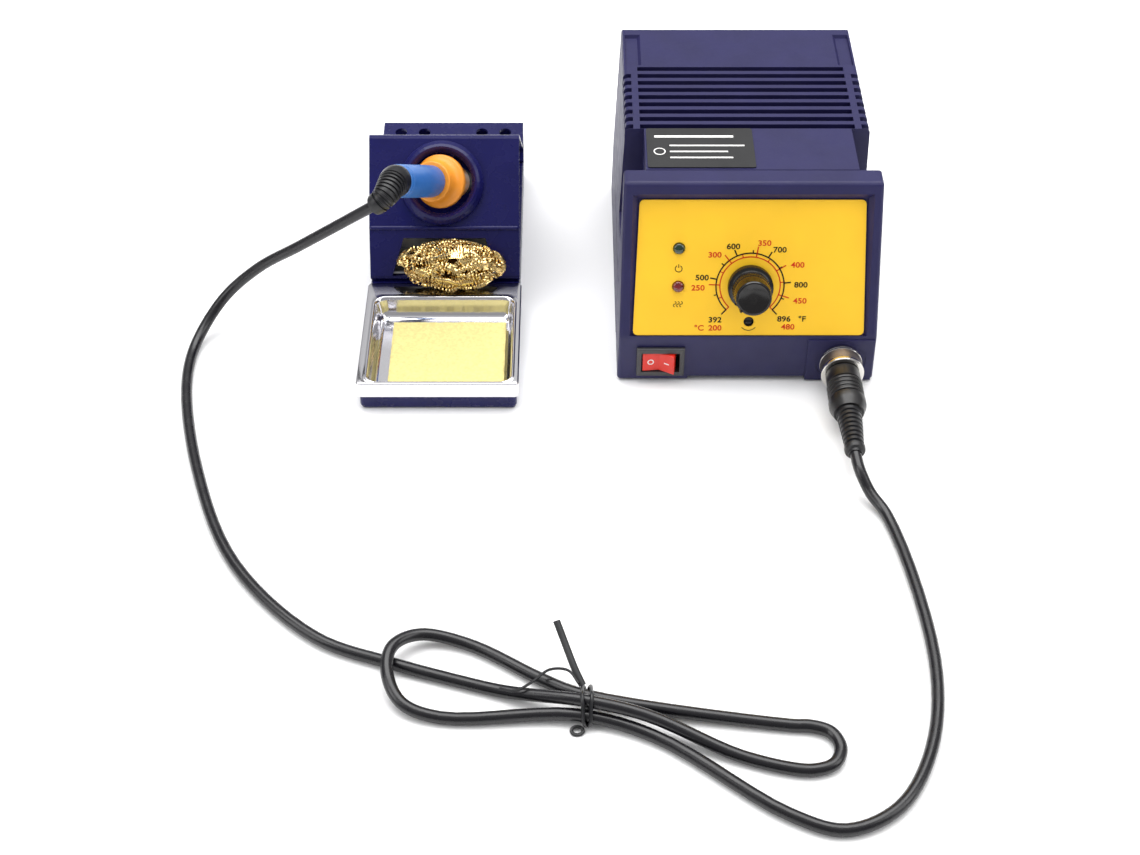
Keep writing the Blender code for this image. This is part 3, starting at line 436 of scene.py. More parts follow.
def piece(name, shapes, material, body, matrix=None, sharp=35, nodes=()):
    """One object of several shapes, put in place, that rides on a body and may stand for CAD nodes."""
    whole = bmesh.new()
    for shape in shapes:
        part = bpy.data.meshes.new(name)
        shape.to_mesh(part)
        whole.from_mesh(part)
        bpy.data.meshes.remove(part)
        shape.free()
    if matrix is not None:
        bmesh.ops.transform(whole, matrix=matrix, verts=whole.verts)
    bmesh.ops.scale(whole, vec=(MM, MM, MM), verts=whole.verts)
    mesh = bpy.data.meshes.new(name)
    whole.to_mesh(mesh)
    whole.free()
    mesh.shade_smooth()
    mesh.set_sharp_from_angle(angle=math.radians(sharp))
    mesh.materials.append(material)
    made = bpy.data.objects.new(name, mesh)
    bpy.context.collection.objects.link(made)
    if body:
        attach(made, body)
    if nodes:
        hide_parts(*nodes)
    return made


def dress(material, *nodes):
    """Gives CAD nodes a finished material."""
    for name in nodes:
        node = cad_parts[name]
        node.data.materials.clear()
        node.data.materials.append(material)


def add_cord(material):
    """The iron's cord, from the strain relief to the plug's boot."""
    path = smoothed(CORD_ROUTE, steps=7)
    shape = swept(path, CORD_RADIUS, count=14)
    cord = piece("iron_cord_visual", [shape], material, None, nodes=["iron_cord"])
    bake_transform(cord)
    return cord, path


# ---- Panel artwork ----


def bar(start, end, width, low=INK_LOW, high=INK_HIGH):
    """A thin straight line of ink between two points of a face."""
    start = Vector(start)
    end = Vector(end)
    side = (end - start).normalized().orthogonal() * width / 2
    loops = []
    for height in (low, high):
        corners = [start - side, end - side, end + side, start + side]
        loops.append([Vector((corner.x, corner.y, height)) for corner in corners])
    return loft(loops)


def arc(radius, width, first, last, centre=(0.0, 0.0), steps=64, low=INK_LOW, high=INK_HIGH):
    """A thin arc of ink, from one angle to another, in degrees."""
    loops = []
    for i in range(steps + 1):
        angle = math.radians(first + (last - first) * i / steps)
        way = Vector((math.cos(angle), math.sin(angle)))
        loop = []
        for reach, height in [(-1, low), (1, low), (1, high), (-1, high)]:
            point = Vector(centre) + way * (radius + reach * width / 2)
            loop.append(Vector((point.x, point.y, height)))
        loops.append(loop)
    return loft(loops)


def lettering(text, size, centre, low=INK_LOW, high=INK_HIGH):
    """Flat numerals centred on a point of a face."""
    curve = bpy.data.curves.new("numeral", "FONT")
    curve.body = text
    curve.size = size
    curve.align_x = "CENTER"
    curve.align_y = "CENTER"
    curve.resolution_u = 4
    curve.extrude = (high - low) / 2
    curve.space_character = 1.02
    # The offset makes the strokes bolder.
    curve.offset = 0.07
    holder = bpy.data.objects.new("numeral", curve)
    mesh = bpy.data.meshes.new_from_object(holder)
    shape = bmesh.new()
    shape.from_mesh(mesh)
    bmesh.ops.remove_doubles(shape, verts=shape.verts, dist=0.0005)
    bmesh.ops.scale(shape, vec=(1.12, 1.0, 1.0), verts=shape.verts)
    bmesh.ops.translate(shape, vec=(centre[0], centre[1], (high + low) / 2), verts=shape.verts)
    bpy.data.objects.remove(holder)
    bpy.data.curves.remove(curve)
    bpy.data.meshes.remove(mesh)
    return shape


def dial_angle(celsius):
    """Where a temperature in degrees C stands on the dial, in degrees of angle."""
    return DIAL_START - (celsius - DIAL_COLDEST) / (DIAL_HOTTEST - DIAL_COLDEST) * DIAL_SWEEP


def ray(angle, near, far, width):
    """A tick of the dial, from one distance from its middle to another."""
    way = Vector((math.cos(math.radians(angle)), math.sin(math.radians(angle))))
    centre = Vector(DIAL)
    return bar(centre + way * near, centre + way * far, width)


def add_panel_print(black, red):
    """The dial's two scales, with numerals, and three small signs in place of words."""
    ends = (dial_angle(DIAL_COLDEST), dial_angle(DIAL_HOTTEST))
    black_shapes = [arc(BLACK_SCALE, 0.6, *ends, DIAL)]
    red_shapes = [arc(RED_SCALE, 0.5, *ends, DIAL)]
    for fahrenheit in (392, 500, 600, 700, 800, 896):
        black_shapes.append(ray(dial_angle((fahrenheit - 32) / 1.8), BLACK_SCALE, 18.0, 0.6))
    for fahrenheit in (450, 550, 650, 750, 850):
        black_shapes.append(ray(dial_angle((fahrenheit - 32) / 1.8), BLACK_SCALE, 16.4, 0.5))
    for celsius in (200, 250, 300, 350, 400, 450, 480):
        far = 15.3 if celsius in (DIAL_COLDEST, DIAL_HOTTEST) else 18.2
        red_shapes.append(ray(dial_angle(celsius), RED_SCALE, far, 0.5))
    for celsius in (225, 275, 325, 375, 425):
        red_shapes.append(ray(dial_angle(celsius), RED_SCALE, 14.7, 0.45))
    numerals = {
        "392": (-15.0, 7.1), "500": (-21.2, 26.6), "600": (-7.9, 40.8), "700": (12.5, 39.3),
        "800": (22.4, 23.3), "896": (15.6, 7.5), "\u00b0F": (23.6, 7.5),
    }
    black_shapes += [lettering(text, NUMERAL_SIZE, centre) for text, centre in numerals.items()]
    numerals = {
        "\u00b0C": (-22.0, 3.3), "200": (-14.9, 3.3), "250": (-22.9, 21.9), "300": (-15.9, 37.0),
        "350": (5.7, 42.3), "400": (20.6, 32.4), "450": (22.3, 15.9), "480": (17.5, 3.8),
    }
    red_shapes += [lettering(text, NUMERAL_SIZE, centre) for text, centre in numerals.items()]
    black_shapes += panel_signs()
    piece("dial_print_black", black_shapes, black, "base", PANEL)
    piece("dial_print_red", red_shapes, red, "base", PANEL)


def panel_signs():
    """A standby sign under the green lamp, three heat waves under the red one and an arc by the trimmer."""
    x, y = LAMPS["power_led"][0], 30.8
    signs = [arc(1.5, 0.35, 120, 420, (x, y), 24), bar((x, y + 0.4), (x, y + 2.0), 0.35)]
    x, y = LAMPS["heater_led"][0], 14.5
    for shift in (-1.4, 0.0, 1.4):
        signs.append(arc(0.6, 0.3, -90, 90, (x + shift, y + 0.6), 10))
        signs.append(arc(0.6, 0.3, 90, 270, (x + shift, y - 0.6), 10))
    signs.append(arc(4.0, 0.3, 220, 320, TRIMMER, 20))
    return signs


# ---- Base unit ----


def add_knob(black):
    """The knob: a grooved skirt, a fine knurled band, a smooth cap with a dished face, and a pointer."""
    skirt = [
        (3.25, 16.3), (3.25, 4.5), (6.5, 4.5), (6.5, 0.8), (9.7, 0.8), (10.0, 1.1), (10.0, 2.3), (9.6, 2.5),
        (9.6, 2.9), (10.0, 3.1), (10.0, 4.2), (9.8, 4.6), (9.0, 4.9), (8.5, 5.1),
    ]
    band = [(8.3, 5.3, 0.0), (8.3, 5.5, 0.13), (8.15, 10.6, 0.13), (8.1, 10.8, 0.0)]
    cap = [
        (7.8, 10.9), (7.8, 11.3), (8.0, 11.5), (7.85, 17.9), (7.7, 18.5), (7.3, 18.9), (6.7, 19.0),
        (6.4, 18.8), (2.0, 18.7),
    ]
    count = 180
    loops = [disc(radius, height, count) for radius, height in skirt]
    loops += [disc(radius, height, count, waves=45, depth=depth) for radius, height, depth in band]
    loops += [disc(radius, height, count) for radius, height in cap]
    turn = Matrix.Rotation(KNOB_REST, 4, "Z")
    pointer = block(8.0, 9.9, -0.35, 0.35, 4.4, 5.0)
    ridge = block(7.2, 8.35, -0.4, 0.4, 11.4, 19.15)
    for shape in (pointer, ridge):
        bmesh.ops.transform(shape, matrix=turn, verts=shape.verts)
    piece("temperature_knob_visual", [loft(loops), pointer, ridge], black, "knob", DIAL_FRAME,
          nodes=["temperature_knob"])


def add_lamps():
    """Two round-topped 5 mm lamps."""
    profile = [(2.5, -12.2), (2.5, 0.2), (2.42, 0.7), (2.1, 1.15), (1.6, 1.42), (1.0, 1.55), (0.4, 1.6)]
    for name, slot, colour in [
        ("power_led", "green_lens", (10, 50, 30)), ("heater_led", "red_lens", (108, 10, 18)),
    ]:
        lamp = turned(profile, 40, LAMPS[name])
        piece(f"{name}_visual", [lamp], lens(slot, colour), "base", PANEL, nodes=[name])


def add_rocker_marks(white):
    """A ring on the pressed half of the rocker and a short bar on the raised half."""
    rocker = STATION @ place(ROCKER_PLACE) @ Matrix.Rotation(ROCKER_REST, 4, "Z")
    # The two halves of the rocker's face meet in a shallow V.
    across = Vector((7.2, 2.2, 0.0)).normalized()
    up = Vector((0.0, 0.0, 1.0))
    ring = arc(1.25, 0.45, 0, FULL_CIRCLE, steps=32)
    dash = bar((-1.2, 0.0), (1.2, 0.0), 0.5)
    for name, side, shape in [("rocker_off_ring", -1, ring), ("rocker_on_bar", 1, dash)]:
        along = Vector((across.x, -side * across.y, 0.0))
        face = Matrix((along, up, along.cross(up))).transposed().to_4x4()
        middle = Matrix.Translation(Vector((side * 3.6, -4.5, 0.0)))
        piece(name, [shape], white, "rocker", rocker @ middle @ face)


def add_label(pale):
    """Plain rules stand where the sticker has words."""
    heights = {"low": 93.06, "high": 93.1}
    shapes = [bar((-42.0, -13.0), (-7.0, -13.0), 1.6, **heights)]
    for i, reach in enumerate((-2.5, -10.0, -8.0)):
        y = -20.0 - 4.6 * i
        shapes.append(bar((-35.5, y), (reach, y), 1.0, **heights))
    shapes.append(arc(2.4, 0.5, 0, FULL_CIRCLE, (-40.0, -24.5), 32, **heights))
    piece("label_rules", shapes, pale, "base", STATION)


# ---- Plug ----


def add_plug_nut():
    """The nut: two bright rims with a knurled band between them, whose darker nickel is painted shade of its
    grooves.
    """
    count = 144
    rear_rim = [(8.1, 2.1), (9.1, 2.1), (9.45, 2.4), (9.5, 2.6), (9.5, 3.1), (9.3, 3.3), (8.1, 3.3)]
    front_rim = [
        (8.1, 8.2), (9.2, 8.2), (9.55, 8.5), (9.6, 8.8), (9.6, 10.0), (9.5, 10.3), (9.2, 10.5), (7.3, 10.6),
        (7.0, 10.3), (7.0, 8.6),
    ]
    rims = [turned(rim, count, ring=True) for rim in (rear_rim, front_rim)]
    bright = metal("nickel_rim", (214, 211, 206), 0.16)
    nut = piece("plug_nut_visual", rims, bright, "plug_lock", PLUG, sharp=30,
                nodes=["plug_nut"])
    loops = [disc(7.9, 3.0, count), disc(9.15, 3.0, count)]
    for row in range(11):
        height = 3.25 + 0.5 * row
        loop = []
        for i, point in enumerate(disc(1.0, height, count)):
            reach = 9.42 if (i + row) % 2 else 9.2
            loop.append(Vector((point.x * reach, point.y * reach, height)))
        loops.append(loop)
    loops += [disc(9.15, 8.5, count), disc(7.9, 8.5, count)]
    # The knurled band's nickel is darker than the rims': painted shade in its grooves.
    knurl_painted_shade = metal("knurled_nickel_painted_shade", (150, 142, 137), 0.42)
    knurl = piece("plug_nut_knurl", [loft(loops, True)], knurl_painted_shade, "plug_lock", PLUG, sharp=10)
    return [nut, knurl]


def add_plug_shell(gloss):
    """The shell, with four rounded ribs to grip it by."""
    shell = [(6.3, 4.0), (6.3, 10.9), (7.3, 10.95), (7.6, 11.2), (7.7, 11.8), (7.7, 17.6)]
    for i in range(4):
        start = 17.9 + 2.5 * i
        shell += [(7.2, start), (7.2, start + 0.5), (7.8, start + 0.8), (8.0, start + 1.3)]
        shell += [(7.8, start + 1.9), (7.3, start + 2.2)]
    shell += [(7.6, 28.2), (8.2, 28.8), (8.2, 31.6), (7.9, 32.8), (6.9, 35.2), (6.6, 36.0)]
    shape = turned(shell, 72)
    return piece("plug_shell_visual", [shape], gloss, "base", PLUG, sharp=30,
                 nodes=["plug_shell"])


def add_plug_boot(rubber):
    """The boot, ringed with grooves and drawn in to the cord."""
    boot = [(5.6, 36.2)]
    rings = 8
    for i in range(rings):
        start = 36.6 + 2.55 * i
        radius = 5.5 - 1.4 * i / rings
        boot += [(radius, start), (radius, start + 1.3)]
        boot += [(radius - 0.75, start + 1.6), (radius - 0.75, start + 2.3)]
    boot += [(4.1, 57.2), (4.5, 57.6), (4.5, 59.4), (4.2, 60.0), (3.1, 60.4), (2.9, 61.6)]
    shape = turned(boot, 48)
    return piece("plug_boot_visual", [shape], rubber, "base", PLUG, sharp=30,
                 nodes=["plug_boot"])


# ---- Twist tie ----


def tie_strands(path):
    """Where the cord's three strands pass through the tie."""
    strands = []
    for a, b in zip(path, path[1:]):
        if (a.x < TIE_X) != (b.x < TIE_X) and a.y < -200:
            strands.append(a.lerp(b, (TIE_X - a.x) / (b.x - a.x)))
    return strands


def band_loop(strands, x, wide, high, lean=0.0):
    """A loop round the strands, standing off them by wide and high, that leans along X as it rises."""
    loop = []
    for i in range(48):
        way = Vector((0.0, math.cos(math.tau * i / 48), math.sin(math.tau * i / 48)))
        near = max(strands, key=lambda strand: strand.dot(way))
        loop.append(Vector((TIE_X + x + lean * way.z, near.y + wide * way.y, near.z + high * way.z)))
    return loop


def add_tie(path, material):
    """Two turns of wire round the strands, an eye below, a flat tail that stands up, and a thin one."""
    strands = tie_strands(path)
    shapes = []
    for x, lean in [(-0.9, -0.9), (1.1, 0.8)]:
        middle = band_loop(strands, x, 3.8, 3.1, lean)
        shapes.append(swept(middle, 0.75, 8, ring=True))
    low = min(strands, key=lambda strand: strand.y)
    eye = []
    for i in range(25):
        angle = math.tau * i / 25
        x = TIE_X - 3.6 + 2.2 * math.cos(angle)
        y = low.y - 4.6 + 1.6 * math.sin(angle)
        eye.append(Vector((x, y, 1.0 + 0.4 * math.sin(angle))))
    shapes.append(swept(eye, 0.7, 8, ring=True))
    top = max(strands, key=lambda strand: strand.y)
    tail = smoothed([
        (TIE_X - 1.5, top.y + 3.2, 6.0), (TIE_X - 4.5, top.y + 9.0, 9.0),
        (TIE_X - 9.0, top.y + 20.0, 14.0), (TIE_X - 11.5, top.y + 26.0, 17.0),
    ], 6)
    shapes.append(swept(tail, 1.45, 8, squash=0.35, up_hint=Vector((1.0, 0.3, 0.0))))
    wire = smoothed([
        (TIE_X - 3.0, top.y + 3.0, 7.6), (TIE_X - 7.0, top.y + 8.5, 8.5), (TIE_X - 14.0, top.y + 9.0, 8.4),
        (TIE_X - 21.0, top.y + 2.5, 8.6), (TIE_X - 27.0, top.y - 1.6, 8.8), (TIE_X - 33.0, top.y - 0.8, 9.2),
    ], 6)
    shapes.append(swept(wire, 0.55, 8))
    return piece("twist_tie_visual", shapes, material, "base", nodes=["twist_tie"])


# ---- Stand ----


def tray_loop(x0, x1, y0, y1, radius, z, rear_z=None, steps=10):
    """A rounded rectangle with one more point on each side, where its height may change for the rear."""
    loop = rectangle(x0, x1, y0, y1, radius, z, steps)
    turn = y1 - radius - 1.5
    loop.append(Vector((x0, turn, z)))
    loop.insert(2 * (steps + 1), Vector((x1, turn, z)))
    for point in loop:
        if rear_z is not None and point.y > turn + 0.1:
            point.z = rear_z
    return loop


def add_tray(chrome):
    """The pressed tray, with a rounded foot to its basin, a raised edge, and a skirt on three sides."""
    rows = [
        (-20.0, 22.0, -82.0, -43.0, 2.0, 6.45),
        (-27.3, 29.6, -87.0, -35.8, 3.0, 6.5),
        (-28.0, 30.0, -87.35, -35.0, 3.4, 6.62),
        (-28.7, 30.4, -87.65, -34.3, 3.8, 6.95),
        (-29.2, 30.75, -87.85, -33.6, 4.1, 7.5),
        (-29.55, 31.05, -88.0, -33.0, 4.3, 8.3),
        (-29.9, 31.3, -88.15, -32.45, 4.45, 9.6),
        (-30.25, 31.55, -88.3, -31.95, 4.6, 11.2),
        (-31.0, 32.1, -88.7, -31.0, 4.8, 14.4),
        (-31.2, 32.3, -88.9, -30.8, 5.0, 15.1),
        (-31.5, 32.6, -89.2, -30.5, 5.1, 15.6),
        (-31.85, 32.9, -89.5, -30.15, 5.25, 15.9),
        (-32.2, 33.2, -89.8, -29.8, 5.4, 16.0),
        (-32.6, 33.6, -90.05, -29.4, 5.4, 15.85),
        (-32.9, 33.9, -90.3, -29.0, 5.4, 15.6),
        (-33.6, 34.3, -90.4, -27.5, 4.6, 15.55),
        (-35.3, 35.3, -90.6, -19.6, 1.7, 15.5),
        (-35.7, 35.7, -90.85, -19.25, 1.9, 15.35),
        (-36.0, 36.0, -91.0, -19.0, 2.0, 15.0),
        (-36.0, 36.0, -91.0, -19.0, 2.0, 8.0, 14.75),
        (-35.4, 35.4, -90.4, -19.6, 1.6, 8.0, 14.75),
        (-35.4, 35.4, -90.4, -19.6, 1.6, 15.0),
        (-32.1, 33.1, -89.75, -30.0, 5.4, 15.0),
        (-31.5, 32.6, -89.15, -30.5, 5.2, 14.2),
        (-30.7, 32.0, -88.75, -31.5, 5.0, 10.8),
        (-30.0, 31.5, -88.5, -32.5, 4.7, 7.9),
        (-28.9, 30.7, -88.0, -34.0, 4.2, 6.3),
        (-27.4, 29.7, -87.1, -35.7, 3.1, 5.95),
    ]
    loops = [tray_loop(*row) for row in rows]
    piece("sponge_tray_visual", [loft(loops)], chrome, "tray", STAND, sharp=40,
          nodes=["sponge_tray"])


def add_plate_fold(paint):
    """The rounded fold along which the ring's sheet meets the wool's sheet."""
    y, z = PLATE_FOLD
    path = [Vector((x, y, z)) for x in (-34.6, -34.2, 34.2, 34.6)]
    fold = swept(path, [0.7, 1.1, 1.1, 0.7], 20)
    piece("stand_plate_fold", [fold], paint, "base", STAND, sharp=40)


def grid_edge(layer):
    """The points round a grid, in order."""
    back = layer[-1][-2::-1] + [row[0] for row in layer[-2:0:-1]]
    return layer[0] + [row[-1] for row in layer[1:]] + back


def add_sponge(material):
    """A cut cellulose block with soft edges and a slightly uneven top."""
    x0, x1, y0, y1 = -22.6, 29.2, -86.6, -42.5
    bottom = 6.95
    top = 11.2
    shape = bmesh.new()
    columns = 64
    rows = 52
    grid = []
    for side in (0, 1):
        layer = []
        for j in range(rows + 1):
            line = []
            for i in range(columns + 1):
                x = x0 + (x1 - x0) * i / columns
                y = y0 + (y1 - y0) * j / rows
                edge = min(x - x0, x1 - x, y - y0, y1 - y)
                soft = 0.5 * max(0.0, 1.0 - edge / 1.2) ** 2
                point = Vector((x, y, 0.0))
                uneven = 0.16 * noise.noise(point * 0.22) + 0.10 * noise.noise(point * 1.1)
                z = top + uneven - soft if side else bottom
                wobble = 0.18 * noise.noise(Vector((x * 0.4, y * 0.4, 3.0 + side)))
                line.append(shape.verts.new((x + wobble, y + wobble, z)))
            layer.append(line)
        grid.append(layer)
    for side, layer in enumerate(grid):
        for j in range(rows):
            for i in range(columns):
                corners = [layer[j][i], layer[j][i + 1], layer[j + 1][i + 1], layer[j + 1][i]]
                shape.faces.new(corners if side else corners[::-1])
    rim_low, rim_high = [grid_edge(layer) for layer in grid]
    for i in range(len(rim_low)):
        j = (i + 1) % len(rim_low)
        shape.faces.new((rim_low[i], rim_low[j], rim_high[j], rim_high[i]))
    bmesh.ops.recalc_face_normals(shape, faces=shape.faces)
    made = piece("sponge_visual", [shape], material, "pad", STAND, sharp=60,
                 nodes=["sponge"])


def wool_reach(w):
    """The wool's half width and half height, and its centre, at a distance out of the plate."""
    stations = [
        (-4.5, 17.0, 5.0, 0.0, 1.0), (0.4, 18.2, 6.2, 0.0, 1.0), (0.7, 24.3, 9.6, 2.5, -0.2),
        (5.0, 26.6, 11.0, 3.5, -1.5), (9.0, 25.2, 10.8, 4.5, -3.5), (12.5, 17.8, 8.3, 5.0, -6.5),
        (15.0, 8.8, 4.3, 5.0, -8.0),
    ]
    for before, after in zip(stations, stations[1:]):
        if w <= after[0]:
            share = max(0.0, (w - before[0]) / (after[0] - before[0]))
            return [a + (b - a) * share for a, b in zip(before[1:], after[1:])]
    return stations[-1][1:]


def wool_point(angle, w, share):
    """A place in the wool: round its middle at a distance out of the plate, at a share of its reach."""
    wide, high, x, y = wool_reach(w)
    return Vector((x + share * wide * math.cos(angle), y + share * high * math.sin(angle), w))


def wool_line(source, on_top):
    """A line that wanders through the wool, or over its top."""
    share = source.uniform(0.02, 0.9) ** 0.6
    angle = source.uniform(0.0, math.tau)
    sweep = source.uniform(1.2, 2.6) * source.choice((-1, 1))
    height = source.uniform(3.0, 11.0)
    swing = source.uniform(1.5, 4.5)
    beat = source.uniform(0.8, 1.9)
    phase = source.uniform(0.0, math.tau)
    drift = source.uniform(-0.25, 0.25)
    line = []
    for i in range(41):
        t = i / 40
        reach = min(0.92, max(0.05, share + drift * math.sin(math.tau * t + phase)))
        if on_top:
            w = 3.5 + 9.6 * math.sqrt(1.0 - min(1.0, reach) ** 2)
        else:
            w = min(11.4, max(1.8, height + swing * math.sin(math.tau * beat * t + phase)))
        line.append(wool_point(angle + sweep * t, w, reach))
    return smoothed(line, 4, lowest=-99.0)


def wool_strand(source, on_top):
    """One long curl of crimped brass ribbon, coiled round its own line."""
    line = wool_line(source, on_top)
    length = sum((b - a).length for a, b in zip(line, line[1:]))
    radius = source.uniform(1.2, 1.5) if on_top else source.uniform(0.9, 1.3)
    pitch = source.uniform(1.15, 1.5)
    width = source.uniform(0.5, 0.68)
    steps = int(TURN_STEPS * length / pitch)
    loops = []
    side = None
    for i in range(steps + 1):
        place_in_line = (len(line) - 1.001) * i / steps
        start = int(place_in_line)
        ahead = (line[start + 1] - line[start]).normalized()
        side = ahead.orthogonal() if side is None else side
        side = (side - ahead * side.dot(ahead)).normalized()
        up = ahead.cross(side)
        spin = math.tau * i / TURN_STEPS
        out = side * math.cos(spin) + up * math.sin(spin)
        crimp = 0.14 * math.cos(math.pi * i * 0.5)
        centre = line[start].lerp(line[start + 1], place_in_line - start) + out * (radius + crimp)
        centre = held_in_wool(centre)
        across = ahead * width / 2
        thick = out * 0.05
        inner = [centre - across - thick, centre + across - thick]
        outer = [centre + across + thick, centre - across + thick]
        loops.append(inner + outer)
    return loft(loops)


def wool_edge(angle, w):
    """How far out the wool reaches at an angle: its outline is uneven."""
    return 0.97 + 0.16 * noise.noise(Vector((2.1 * math.cos(angle), 2.1 * math.sin(angle), 0.12 * w)))


def held_in_wool(point):
    """Moves a point that has strayed outside the wool's shape back to just inside it."""
    w = min(14.3, max(0.9, point.z))
    wide, high, x, y = wool_reach(w)
    u = (point.x - x) / wide
    v = (point.y - y) / high
    reach = math.hypot(u, v)
    edge = min(1.03, wool_edge(math.atan2(v, u), w))
    if reach > edge:
        u *= edge / reach
        v *= edge / reach
    return Vector((x + u * wide, y + v * high, w))


def wool_core():
    """A lumpy body inside the curls, which reaches back into the cup."""
    loops = []
    for step in range(18):
        w = -4.3 + 13.6 * step / 17
        share = 0.9 if w < 0.4 else 0.58 - 0.03 * max(0.0, w - 8.0)
        loop = []
        for i in range(72):
            angle = math.tau * i / 72
            lump = 0.08 * noise.noise(Vector((4 * math.cos(angle), 4 * math.sin(angle), w * 0.5)))
            loop.append(wool_point(angle, w, share * (1.0 + (lump if w > 0.4 else 0.0))))
        loops.append(loop)
    return loft(loops)


def add_wool():
    """Brass wool: long crimped curls over a dark core."""
    brass = metal("brass_ribbon", (236, 206, 140), 0.2, 0.8, 0.02)
    dark_brass = metal("brass_shadow", (56, 38, 18), 0.5)
    source = random.Random(WOOL_SEED)
    strands = [wool_strand(source, number >= WOOL_STRANDS - TOP_STRANDS) for number in range(WOOL_STRANDS)]
    made = piece("brass_wool_visual", strands, brass, "wool", WOOL, sharp=50,
                 nodes=["brass_wool"])
    core = piece("brass_wool_core", [wool_core()], dark_brass, "wool", WOOL, sharp=60)
    for soft in (made, core):
        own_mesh(soft)


# ---- Iron ----


def add_collar(orange):
    """The grip's collar: a flange, a hollowed neck and a bead, with finer edges than the CAD's."""
    collar = [
        (6.8, -16.0), (7.4, -16.0), (7.6, -15.8), (8.4, -12.0), (8.4, 0.4), (11.8, 0.6), (12.2, 0.8),
        (12.4, 1.3), (12.4, 3.0), (12.3, 3.45), (12.0, 3.75), (11.4, 4.0), (10.9, 4.25), (10.2, 4.75),
        (9.6, 5.4), (9.1, 6.5), (8.85, 8.0), (8.75, 9.5), (8.85, 10.7), (9.1, 11.2),
        (9.3, 11.5), (9.35, 12.2), (9.2, 12.7), (8.8, 13.0), (6.8, 13.0),
    ]
    shape = turned(collar, 72, ring=True)
    piece("grip_collar_visual", [shape], orange, "iron", IRON, sharp=30,
          nodes=["grip_collar"])


def add_handle(blue):
    """The handle: a plain tube with a groove near its end."""
    handle = [
        (4.5, -10.0), (6.5, -10.0), (6.5, 13.3), (7.0, 13.3), (7.25, 13.5), (7.38, 14.0), (7.4, 30.0),
        (7.4, 48.2), (7.25, 48.4), (7.25, 48.8), (7.4, 49.0), (7.4, 50.4), (7.3, 50.9), (7.0, 51.2),
        (4.5, 51.2),
    ]
    shape = turned(handle, 72, ring=True)
    piece("iron_handle_visual", [shape], blue, "iron", IRON, sharp=30,
          nodes=["iron_handle"])


def add_strain_relief(rubber):
    """The bent strain relief, which tapers to the cord, with rings round its middle."""
    start, first, second, end = [Vector(point) for point in RELIEF_CURVE]
    path = []
    radii = []
    steps = 120
    for i in range(steps + 1):
        t = i / steps
        near = start * (1 - t) ** 3 + first * 3 * t * (1 - t) ** 2
        path.append(near + second * 3 * t * t * (1 - t) + end * t ** 3)
        radius = 7.2 - 2.5 * max(0.0, t - 0.08) / 0.92
        if 0.22 < t < 0.88 and math.sin(math.tau * (t - 0.22) / 0.073) < -0.25:
            radius -= 0.75
        radii.append(radius)
    shape = swept(path, radii, 40)
    piece("strain_relief_visual", [shape], rubber, "iron", sharp=40,
          nodes=["strain_relief"])


# ---- The whole ----


def shared_looks():
    """The finishes that more than one part takes."""
    return {
        "navy": moulded("navy_case", (38, 36, 76), 0.46, 0.45, 0.03, gloss=0.35),
        "navy_paint": moulded("navy_powder_coat", (29, 29, 78), 0.26, 1.2, 0.006, gloss=0.25),
        "black": moulded("black_plastic", (34, 34, 36), 0.4, 0.4, 0.02),
        "rubber": moulded("boot_rubber", (25, 25, 28), 0.38, 0.5, 0.015),
        "steel": metal("plated_steel", (205, 203, 200), 0.22),
        "zinc": metal("zinc_steel", (190, 190, 190), 0.35),
        "white": plain("mark_white", (240, 238, 236), 0.5),
    }


def dress_station(looks):
    """The case and the CAD parts that show in its front, top, rear and foot."""
    dress(looks["navy"], "front_bezel", "bottom_case", "top_cover", "rear_panel")
    dress(moulded("yellow_overlay", (253, 198, 40), 0.42, 0.3, 0.006, (0.98, 1.02)), "panel_overlay")
    dress(moulded("label_grey", (42, 42, 43), 0.42, 0.3, 0.004, gloss=0.36), "top_label")
    dress(moulded("switch_grey", (58, 58, 60), 0.5, 0.4, 0.02), "switch_housing")
    dress(moulded("rocker_red", (214, 40, 24), 0.3, 0.4, 0.01), "power_rocker")
    dress(looks["black"], "iec_inlet", "fuse_holder", "fuse_cap")
    dress(looks["steel"], "connector_socket", "socket_nut")
    dress(looks["rubber"], *[f"station_foot_{i}" for i in range(1, 5)])
    dress(looks["zinc"], *[f"case_screw_{i}" for i in range(1, 5)])


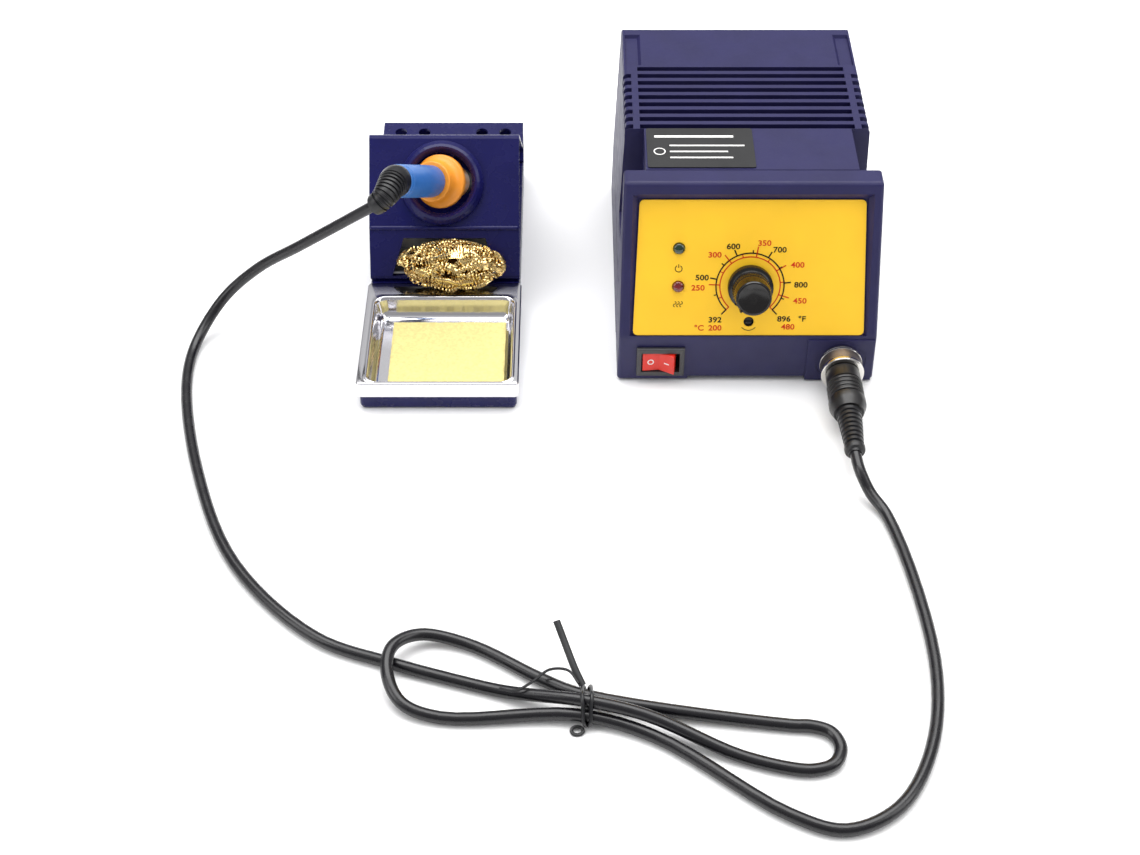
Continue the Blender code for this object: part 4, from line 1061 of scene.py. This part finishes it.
def dress_inside(looks):
    """The CAD parts inside the case."""
    # The calibration rotor takes black so that the trimmer's hole reads dark: painted shade in the hole.
    dress(looks["black"], "capacitor", "cal_rotor")
    dress(looks["steel"], "potentiometer_nut", "potentiometer_shaft")
    dress(looks["zinc"], "potentiometer", "transformer_bracket")
    dress(metal("core_laminations", (110, 104, 98), 0.5), "transformer_core")
    dress(moulded("winding_tape", (190, 150, 70), 0.5), "transformer_coil")
    dress(moulded("board_green", (24, 92, 50), 0.4), "control_board")
    dress(metal("heatsink_aluminium", (188, 190, 192), 0.4), "heatsink")
    dress(moulded("trimmer_blue", (40, 90, 180), 0.4), "cal_trimmer")


def dress_stand(looks):
    """The stand's sheet metal, its ring and its small parts."""
    dress(looks["navy_paint"], "stand_base", "stand_plate", "holder_ring")
    dress(looks["rubber"], "stand_foot_front", "stand_foot_rear")
    dress(looks["zinc"], "wool_cup", "stand_screw_left", "stand_screw_right")


def dress_iron():
    """The iron's metal end and its heater, with the barrel and its nut darkened as painted shade of the gap
    round the collar.
    """
    # The barrel is darker than bare steel and the nut nearly black: painted shade in the gap between the
    # collar and the ring.
    dress(metal("barrel_steel_painted_gap_shade", (116, 112, 108), 0.36), "iron_barrel")
    dress(metal("nut_painted_gap_shade", (32, 28, 27), 0.6), "barrel_nut")
    dress(moulded("heater_ceramic", (228, 224, 214), 0.6), "heater_core")
    dress(metal("tip_plating", (150, 148, 146), 0.35), "iron_tip")


def main():
    add_camera()
    add_floor()
    add_lights()
    add_surround()
    bpy.context.scene.view_settings.view_transform = "Standard"
    cord, path = add_cord(moulded("cord_rubber", (22, 21, 25), 0.27, 0.6, 0.006))

    looks = shared_looks()
    dress_station(looks)
    dress_inside(looks)
    dress_stand(looks)
    dress_iron()

    ink_black = plain("ink_black", (16, 13, 16), 0.5, gloss=0.25)
    ink_red = plain("ink_red", (204, 50, 22), 0.5, gloss=0.25)
    add_panel_print(ink_black, ink_red)
    add_knob(moulded("gloss_black", (20, 18, 18), 0.2, 0.6, 0.006))
    add_lamps()
    add_rocker_marks(looks["white"])
    add_label(looks["white"])

    plug_black = moulded("plug_black", (26, 25, 26), 0.34, 0.5, 0.012)
    plug = [*add_plug_nut(), add_plug_shell(plug_black), add_plug_boot(looks["rubber"])]
    tie = add_tie(path, looks["rubber"])

    add_plate_fold(looks["navy_paint"])
    add_tray(metal("chrome_tray", (216, 215, 219), 0.13, 4.0, 0.012, 0.04))
    add_sponge(sponge_material())
    add_wool()
    add_collar(moulded("collar_orange", (238, 150, 50), 0.42, 0.6, 0.03))
    add_handle(moulded("handle_blue", (50, 106, 178), 0.38, 0.5, 0.02))
    add_strain_relief(looks["rubber"])


main()
